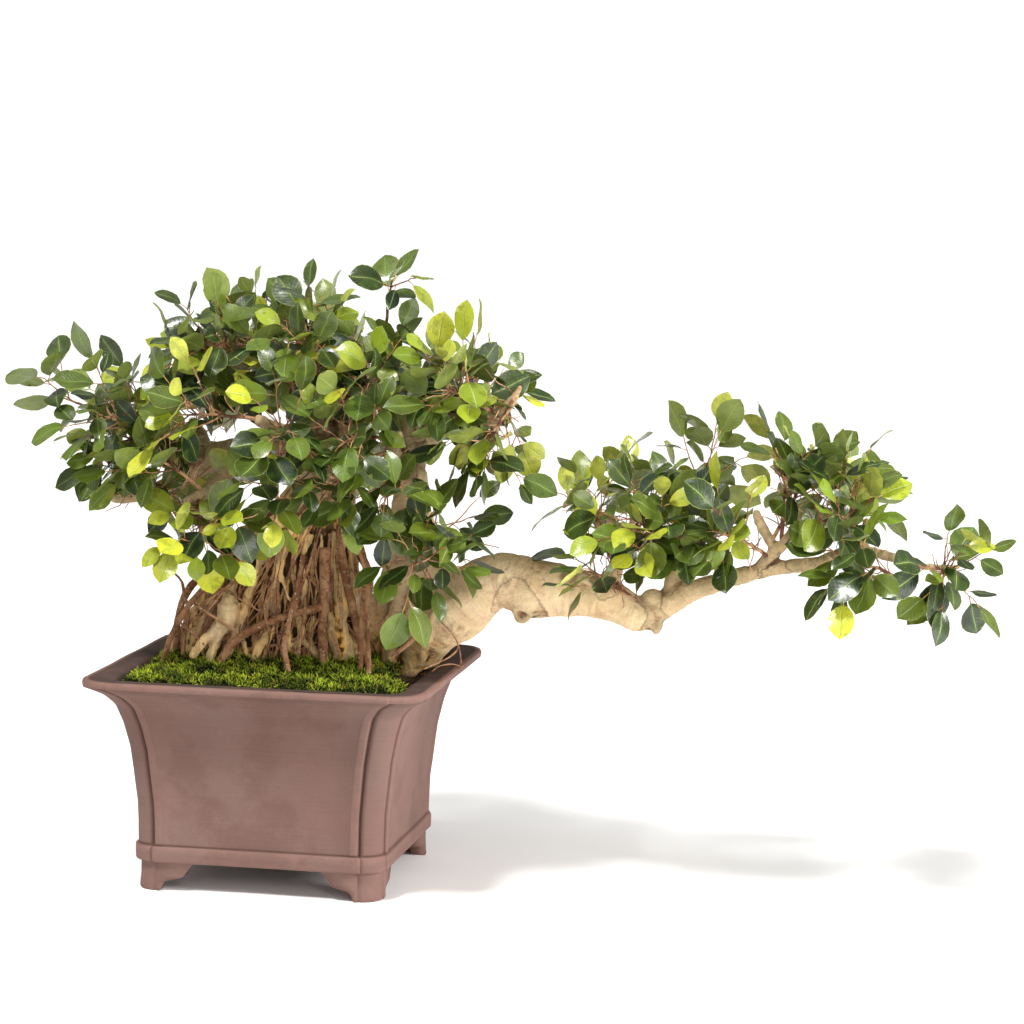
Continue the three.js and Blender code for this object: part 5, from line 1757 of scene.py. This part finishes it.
def mark_bark(mesh, mass):
    """Says how deep in a fold each point lies, for the bark's painted shade and highlights, and
    where old bark has gone green.
    """
    points = coordinates(mesh)
    pairs = item_values(mesh.edges, "vertices", 2, np.int64)
    normals = normals_of(mesh)
    close = ((eased(points, pairs, 8) - points) * normals).sum(axis=1) / MM
    wide = ((eased(points, pairs, 45) - points) * normals).sum(axis=1) / MM
    depth = eased((close * 0.55 + wide * 0.16)[:, None], pairs, 1)[:, 0]
    places = (points - np.array(POT_MIDDLE)) / MM
    x, z = places[:, 0], places[:, 2]
    foot = ramp(z, 280, 220) * ramp(x, 60, 80) * ramp(x, 170, 140)
    aged = ramp(z, 410, 340) if mass else foot * 0.85
    knob = np.clip(1.6 - np.hypot((x + 57) / 19, (z - 257) / 26), 0, 1) if mass else 0
    # Painted shadow: the cavity counts as deeper, and so darker.
    depth += (0.8 if mass else 0.5) * np.array([in_cavity(Vector(place)) for place in places])
    # Painted shade: places sunk inside the mass's outline count as deeper.
    if mass:
        rows = np.array([read_row(ROOT_MASS, float(height)) for height in z])
        out = np.hypot((x - rows[:, 0]) / rows[:, 2], (places[:, 1] - rows[:, 1]) / rows[:, 3]) - 1
        depth += 0.32 * np.clip((1.5 - out * (rows[:, 2] + rows[:, 3]) / 2) / 4, -0.4, 1)
    mark_points(mesh, "hollow", np.clip(0.3 + depth, 0, 1))
    mark_points(mesh, "old", aged * (1 - knob * 0.8))


def fine_roots(sizes):
    """Thin aerial roots that come off the trunk's base and cling to the mass on their way down."""
    source = random.Random(FINE_ROOT_SEED)
    runs = []
    for i in range(sizes.fine_roots):
        angle = source.uniform(-math.pi, math.pi)
        if source.random() < 0.45:
            angle = source.gauss(0, 0.8)
        top = source.choice((source.uniform(300, 372), source.uniform(236, 320)))
        end = source.uniform(196, 214) if source.random() < 0.8 else source.uniform(214, 250)
        drift = source.gauss(0, 0.22) if source.random() < 0.65 else source.gauss(0, 0.8)
        thick = source.choice((0.4, 0.5, 0.65, 0.8, 1.0, 1.5))
        stand = source.uniform(2.5, 6) + thick
        points, radii = [], []
        steps = 22
        for step in range(steps + 1):
            share = step / steps
            height = top + (end - top) * share
            turn = angle + drift * share + 0.06 * noisy((i * 13, height, 0), 26)
            out = stand * min(1, share * 5) * (1 - 0.35 * share)
            out += 2.4 * noisy((i * 7, height, 5), 24)
            points.append(mass_point(turn, height, max(-1.0, out)))
            radii.append(thick * (1.1 - 0.35 * share))
        runs.append((points, radii))
    return runs


# Thin roots and dead twigs that stand out in front of the mass: points and radius.
STRANDS = [
    [(-134, -20, 312, 0.9), (-118, -22, 303, 1.2), (-105, -25, 292, 1.4), (-101, -28, 277, 1.5),
     (-97, -30, 268, 1.9), (-99, -32, 254, 2.3), (-99, -34, 240, 2.3), (-100, -36, 220, 2.4)],
    [(-29, -46, 310, 1.2), (-55, -50, 289, 1.6), (-78, -52, 272, 1.5), (-89, -50, 254, 1.2)],
    [(-54, -52, 288, 1.2), (-69, -54, 269, 1.3), (-85, -54, 249, 1)],
    [(-74, -44, 304, 1.2), (-62, -48, 293, 1.3), (-43, -50, 284, 1.1), (-28, -50, 273, 0.8)],
    [(-86, -56, 277, 1), (-67, -60, 266, 1.3), (-40, -60, 250, 1.2), (-31, -60, 241, 1)],
    [(-98, -50, 254, 1.3), (-84, -54, 244, 1.5), (-72, -58, 235, 1.3)],
    [(-2, -54, 293, 0.9), (-11, -57, 275, 1.2), (-8, -60, 259, 1.3), (-5, -60, 249, 1.1),
     (-6, -62, 235, 1)],
    [(-35, -50, 285, 0.8), (-20, -52, 271, 0.9), (-10, -54, 270, 0.8)],
    [(29, -55, 288, 1.2), (30, -58, 270, 1.5), (27, -62, 249, 1.5), (26, -64, 231, 1.3)],
    [(36, -42, 338, 1.5), (32, -46, 320, 1.7), (24, -52, 293, 1.6), (20, -56, 273, 1.3)],
    [(62, -46, 310, 1.2), (64, -50, 289, 1.5), (65, -52, 273, 1.4), (65, -54, 259, 1)],
    [(78, -50, 344, 1.8), (88, -54, 320, 2.2), (93, -58, 300, 2.5), (93, -60, 277, 2.4),
     (95, -64, 251, 2.4), (98, -70, 216, 2.3)],
    [(116, -46, 278, 1), (106, -50, 264, 1.3), (96, -54, 261, 1.1), (82, -54, 281, 0.9)],
    [(83, -50, 295, 0.8), (98, -48, 298, 0.9), (109, -46, 305, 0.8)],
    [(55, -52, 254, 1.3), (61, -56, 242, 1.5), (69, -60, 226, 1.4)],
    [(42, -52, 264, 0.9), (37, -56, 251, 1), (35, -60, 231, 0.9)],
    [(104, -40, 322, 1.6), (114, -44, 312, 2), (123, -46, 301, 1.6)],
    [(144, -30, 272, 2.2), (144, -38, 258, 2.8), (135, -44, 247, 2.6), (116, -50, 229, 1.9)],
    [(161, -34, 265, 0.5), (173, -36, 254, 0.7), (180, -38, 241, 0.8), (173, -42, 232, 0.8),
     (150, -60, 221, 0.8)],
    [(187, -44, 222, 0.5), (177, -46, 225, 0.6), (164, -48, 223, 0.6), (157, -52, 218, 0.6)],
    [(181, -38, 241, 0.6), (183, -42, 234, 0.6), (185, -48, 227, 0.5)],
]


def strand_runs(rows_list):
    """Points and radii every few millimetres along each route."""
    runs = []
    for rows in rows_list:
        route = Route(rows)
        steps = max(4, round(route.length() / STRAND_STEP))
        runs.append(([route.at(i / steps) for i in range(steps + 1)],
                     [route.radius(i / steps) for i in range(steps + 1)]))
    return runs


def setting(kind, name, description, value, low, high, **more):
    return kind(name=name, description=description, default=value, min=low, max=high, **more)


def colour_setting(name, description, *chart):
    value = tone(*chart)
    kind = bpy.props.FloatVectorProperty
    return setting(kind, name, description, value, 0, 1, subtype="COLOR", size=3)


def length_setting(*facts):
    return setting(bpy.props.FloatProperty, *facts, unit="LENGTH")


def share_setting(*facts):
    return setting(bpy.props.FloatProperty, *facts, subtype="FACTOR")


def count_setting(*facts):
    return setting(bpy.props.IntProperty, *facts)


class BonsaiFinishes(bpy.types.PropertyGroup):
    """The pieces' main colours"""
    clay_colour: colour_setting("Clay", "Unglazed body of the pot", 108, 80, 72)
    rim_colour: colour_setting("Rim top", "Top of the rim and the inside", 66, 50, 45)
    bark_colour: colour_setting("Bark", "Bark in the light", 238, 208, 170)
    bark_shade: colour_setting("Old bark", "Bark in its darker patches", 200, 164, 124)
    root_colour: colour_setting("Aerial roots", "Young aerial roots", 196, 144, 104)
    leaf_dark: colour_setting("Darkest leaves", "Oldest leaves", 18, 38, 14)
    leaf_green: colour_setting("Green leaves", "Full-grown leaves", 90, 112, 22)
    # Painted shade deep in the moss and on its bed.
    moss_painted_shade: colour_setting("Moss between its shoots", "Deep in the moss", 20, 26, 4)
    moss_bright: colour_setting("Moss", "Tips of the moss shoots", 136, 166, 26)


class BonsaiPotSizes(bpy.types.PropertyGroup):
    """Settings of the pot and its drainage"""
    groove_depth: share_setting(
        "Groove depth", "Depth of the panel grooves against the packed pot's", 1.0, 0.2, 1.5)
    stone_size: length_setting("Drain stone", "Size of a drainage stone", 0.0118, 0.006, 0.02)


class BonsaiGroundSizes(bpy.types.PropertyGroup):
    """Settings of the moss"""
    shoot_spacing: length_setting(
        "Moss spacing", "Least space between moss shoots", 0.0026, 0.0015, 0.01)
    shoot_size: length_setting("Moss shoot", "Height of a moss shoot", 0.0056, 0.002, 0.01)
    shoot_lean: setting(
        bpy.props.FloatProperty, "Moss lean", "How far moss shoots lean over", 0.65, 0, 1,
        unit="ROTATION")


class BonsaiWoodSizes(bpy.types.PropertyGroup):
    """Settings of the trunk, limbs and roots"""
    mass_grain: length_setting(
        "Root mesh", "Size of the root mass's faces", 0.0018, 0.0016, 0.006)
    limb_grain: length_setting("Limb mesh", "Size of the limbs' faces", 0.0021, 0.0018, 0.006)
    bark_relief: share_setting(
        "Bark relief", "Height of wrinkles and scars against the usual", 1.0, 0, 2)
    fused_roots: count_setting(
        "Fused roots", "Old roots that stand out round the mass", 54, 8, 90)
    fine_roots: count_setting("Fine roots", "Thin aerial roots round the mass", 150, 0, 300)


class BonsaiLeafSizes(bpy.types.PropertyGroup):
    """Settings of the sprays"""
    leaf_size: share_setting(
        "Leaf size", "Size of the leaves against the packed ones", 1.0, 0.5, 1.3)
    bare_twigs: count_setting("Bare twigs", "Leafless twigs on each spray", 18, 0, 20)
    fallen: share_setting(
        "Fallen leaves", "Share of the inner leaves that have dropped", 0.47, 0, 1)
    young_shoots: share_setting(
        "Young shoots", "Share of the sprays that carry young leaves", 0.45, 0, 1)


class BONSAI_OT_pot(bpy.types.Operator):
    """Adds the clay pot: panels, grooves, corner lobes, rim, hollow and bracket feet"""
    bl_idname = "bonsai.pot"
    bl_label = "Clay pot"

    def execute(self, context):
        shape, marks = make_pot_mesh(context.scene.bonsai_pot)
        piece = shape.piece("clay_pot", "pot_clay")
        for name, values in zip(("worn", "sunk", "inside"), zip(*marks)):
            mark_points(piece.data, name, values)
        keep(piece, "clay", "pot")
        return {"FINISHED"}


class BONSAI_OT_drainage(bpy.types.Operator):
    """Adds the mesh over the drain hole and the drainage stones on it"""
    bl_idname = "bonsai.drainage"
    bl_label = "Drainage"

    def execute(self, context):
        screen = screen_mesh()
        middle = middle_of("drain_screen")
        mesh = bpy.data.meshes.new("mesh_screen")
        mesh.from_pydata([(middle.x + point.x * MM, middle.y + point.y * MM, point.z * MM)
                          for point in screen.points], [], screen.faces)
        piece = finished_object("mesh_screen", mesh, "plastic", False)
        keep(piece, "screen", "drain_screen")
        piece = scattered_stones(context.scene.bonsai_pot.stone_size)
        keep(piece, "gravel", "drainage_gravel")
        return {"FINISHED"}


class BONSAI_OT_soil(bpy.types.Operator):
    """Adds the soil with its crumbly mounded top"""
    bl_idname = "bonsai.soil"
    bl_label = "Soil"

    def execute(self, context):
        keep(make_soil_mesh().piece("potting_soil", "earth"), "soil", "soil")
        return {"FINISHED"}


class BONSAI_OT_moss(bpy.types.Operator):
    """Adds the moss cushions and the shoots that stand on them"""
    bl_idname = "bonsai.moss"
    bl_label = "Moss"

    def execute(self, context):
        sizes = context.scene.bonsai_ground
        shape = make_moss_bed()
        bed = shape.piece("moss_bed", "moss_shoots")
        # The bed's low height gives it the moss's painted shade.
        for mark, value in (("height", 0.3), ("tint", 0.2)):
            mark_points(bed.data, mark, [value] * len(shape.points))
        sown = linked("moss_shoots", bed.data.copy())
        mark_points(sown.data, "cover", [moss_growth(point) for point in shape.points])
        grown(sown, tree_named("scatter", scatter_tree),
              things=collection_of("moss", moss_tuft, 4), spacing=sizes.shoot_spacing,
              density=MOSS_SHOOTS_PER_M2, size=sizes.shoot_size, lean=sizes.shoot_lean, seed=3,
              finish=finish_named("moss_shoots"))
        keep(bed, "moss", "moss")
        keep(sown, "moss")
        return {"FINISHED"}


class BONSAI_OT_wood(bpy.types.Operator):
    """Adds the root mass, and the trunk and limbs, each as one skin of bark"""
    bl_idname = "bonsai.wood"
    bl_label = "Trunk and limbs"

    def execute(self, context):
        sizes = context.scene.bonsai_wood
        for name, shape, grain, mass in (
                ("root_mass", make_mass_shape(sizes), sizes.mass_grain, True),
                ("trunk_and_limbs", make_limbs_shape(), sizes.limb_grain, False)):
            piece = shape.piece(name, "banyan_bark")
            skin = piece.modifiers.new("skin", "REMESH")
            skin.mode = "VOXEL"
            skin.voxel_size = grain
            skin.use_smooth_shade = True
            smooth = piece.modifiers.new("ease", "SMOOTH")
            smooth.factor = 0.5
            smooth.iterations = 1 if mass else 3
            applied(piece)
            if not piece.data.materials:
                piece.data.materials.append(finish_named("banyan_bark"))
            carve_bark(piece.data, sizes, mass)
            mark_bark(piece.data, mass)
            keep(piece, "bark", "tree_wood")
        return {"FINISHED"}


class BONSAI_OT_aerial_roots(bpy.types.Operator):
    """Adds the aerial roots that hang and cling round the mass"""
    bl_idname = "bonsai.aerial_roots"
    bl_label = "Aerial roots"

    def execute(self, context):
        for name, runs, sides, knuckles, knuckle_size in (
                ("aerial_roots", strand_runs(AERIAL_ROOTS + STRANDS), 14, 2.0, 110.0),
                ("fine_roots", fine_roots(context.scene.bonsai_wood), 5, 0.7, 240.0)):
            keep(strands_piece(name, runs, sides, knuckles, knuckle_size), "bark", "tree_wood")
        return {"FINISHED"}


class BONSAI_OT_leaves(bpy.types.Operator):
    """Adds a spray of twigs and leaves in place of each packed one"""
    bl_idname = "bonsai.leaves"
    bl_label = "Leafy sprays"

    def execute(self, context):
        graph = context.evaluated_depsgraph_get()
        solids = [BVHTree.FromObject(bpy.data.objects[name], graph)
                  for name in ("trunk_and_limbs", "root_mass", "clay_pot", "moss_bed")]
        for index, row in enumerate(SPRAYS):
            add_spray(index, row, context.scene.bonsai_leaves, solids)
        return {"FINISHED"}


class BONSAI_OT_stage(bpy.types.Operator):
    """Adds the floor, the soft lights and the camera"""
    bl_idname = "bonsai.stage"
    bl_label = "Stage"

    def execute(self, context):
        bpy.ops.mesh.primitive_plane_add(size=FLOOR_SIZE, location=(0, 0, FLOOR_HEIGHT))
        floor = context.active_object
        floor.name = "floor"
        floor.data.materials.append(finish_named("floor"))
        context.scene.world = white_room()
        add_sun()
        for light in SOFT_LIGHTS:
            add_soft_light(*light)
        context.scene.view_settings.view_transform = "Standard"
        add_camera(context.scene)
        return {"FINISHED"}


# Name, place in metres, width in metres and watts of each soft light.
SOFT_LIGHTS = [
    ("side_light", (4.4, -1.1, 1.9), 1.4, 260), ("front_light", (1.6, -4.4, 1.7), 1.8, 60),
]
SOFT_WARMTH = 0.98
LIGHTS_AIM = Vector((0, 0, 0.35))
# The floor's side, and its height: just below the feet.
FLOOR_SIZE, FLOOR_HEIGHT = 24, -0.0004
# How bright the room is behind the object, and how much of that lights it.
ROOM_WHITE, ROOM_LIGHT = 1.06, 0.36
# The overhead light: strength, spread in degrees, and tilt to the side and to the back.
SUN_STRENGTH, SUN_SPREAD, SUN_TILT = 3.3, 12, (-16, 26)
SUN_COLOUR = (1, 0.985, 0.96)
# The photograph's camera: place in millimetres from the pot's middle, turns and focal length.
CAMERA_PLACE = (764.847, -3046.619, 723.671)
CAMERA_YAW, CAMERA_PITCH, CAMERA_ROLL = -0.17558, 0.11325, 0.01868
CAMERA_LENS = 111.107


def white_room():
    """A white room that is dimmer as a light than it looks."""
    world = bpy.data.worlds.new("white_room")
    world.use_nodes = True
    nodes = Nodes(world.node_tree)
    seen = nodes.node("ShaderNodeLightPath", output="Is Camera Ray")
    strength = nodes.node("ShaderNodeMapRange", {}, {0: seen, 3: ROOM_LIGHT, 4: ROOM_WHITE})
    background = world.node_tree.nodes["Background"]
    background.inputs["Color"].default_value = (1, 1, 1, 1)
    world.node_tree.links.new(strength.socket, background.inputs["Strength"])
    return world


def add_light(name, kind, power, colour):
    light = bpy.data.lights.new(name, kind)
    light.energy = power
    light.color = colour
    return light, linked(name, light)


def add_sun():
    light, lamp = add_light("overhead_light", "SUN", SUN_STRENGTH, SUN_COLOUR)
    light.angle = math.radians(SUN_SPREAD)
    side, back = (math.radians(angle) for angle in SUN_TILT)
    lamp.rotation_euler = (back, side, 0)


def add_soft_light(name, place, size, power):
    light, lamp = add_light(name, "AREA", power, (1, SOFT_WARMTH, SOFT_WARMTH ** 2))
    light.size = size
    aim = (LIGHTS_AIM - Vector(place)).to_track_quat("-Z", "Y")
    lamp.matrix_world = Matrix.Translation(place) @ aim.to_matrix().to_4x4()


def add_camera(scene):
    camera = bpy.data.cameras.new("camera")
    camera.lens = CAMERA_LENS
    camera.sensor_width = 36
    camera.clip_end = 60
    yaw, pitch, roll = CAMERA_YAW, CAMERA_PITCH, CAMERA_ROLL
    ahead = Vector((math.sin(yaw), math.cos(yaw), 0)) * math.cos(pitch) - UP * math.sin(pitch)
    right = Vector((math.cos(yaw), -math.sin(yaw), 0))
    up = right.cross(ahead)
    level = right * math.cos(roll) + up * math.sin(roll)
    steep = up * math.cos(roll) - right * math.sin(roll)
    turn = Matrix((level, steep, -ahead)).transposed().to_4x4()
    scene.camera = linked("camera", camera)
    scene.camera.matrix_world = Matrix.Translation(placed(*CAMERA_PLACE)) @ turn


class BONSAI_PT_panel(bpy.types.Panel):
    """Lists the bonsai's pieces and their settings"""
    bl_label = "Bonsai"
    bl_idname = "BONSAI_PT_panel"
    bl_space_type = "VIEW_3D"
    bl_region_type = "UI"
    bl_category = "Bonsai"

    def draw(self, context):
        column = self.layout.column()
        for group in SETTINGS:
            settings = getattr(context.scene, group)
            for name in settings.bl_rna.properties.keys():
                if name not in ("rna_type", "name"):
                    column.prop(settings, name)
        for operator in OPERATORS:
            column.operator(operator.bl_idname)


SETTINGS = {
    "bonsai_finishes": BonsaiFinishes, "bonsai_pot": BonsaiPotSizes,
    "bonsai_ground": BonsaiGroundSizes, "bonsai_wood": BonsaiWoodSizes,
    "bonsai_leaves": BonsaiLeafSizes,
}
OPERATORS = (
    BONSAI_OT_pot, BONSAI_OT_drainage, BONSAI_OT_soil, BONSAI_OT_moss, BONSAI_OT_wood,
    BONSAI_OT_aerial_roots, BONSAI_OT_leaves, BONSAI_OT_stage,
)


def register():
    for kind in (*SETTINGS.values(), *OPERATORS, BONSAI_PT_panel):
        bpy.utils.register_class(kind)
    for name, kind in SETTINGS.items():
        setattr(bpy.types.Scene, name, bpy.props.PointerProperty(type=kind))


def unregister():
    for name in SETTINGS:
        delattr(bpy.types.Scene, name)
    for kind in (BONSAI_PT_panel, *reversed(OPERATORS), *reversed(SETTINGS.values())):
        bpy.utils.unregister_class(kind)


def main():
    register()
    for operator in OPERATORS:
        getattr(bpy.ops.bonsai, operator.bl_idname.split(".")[1])()


if __name__ == "__main__":
    main()
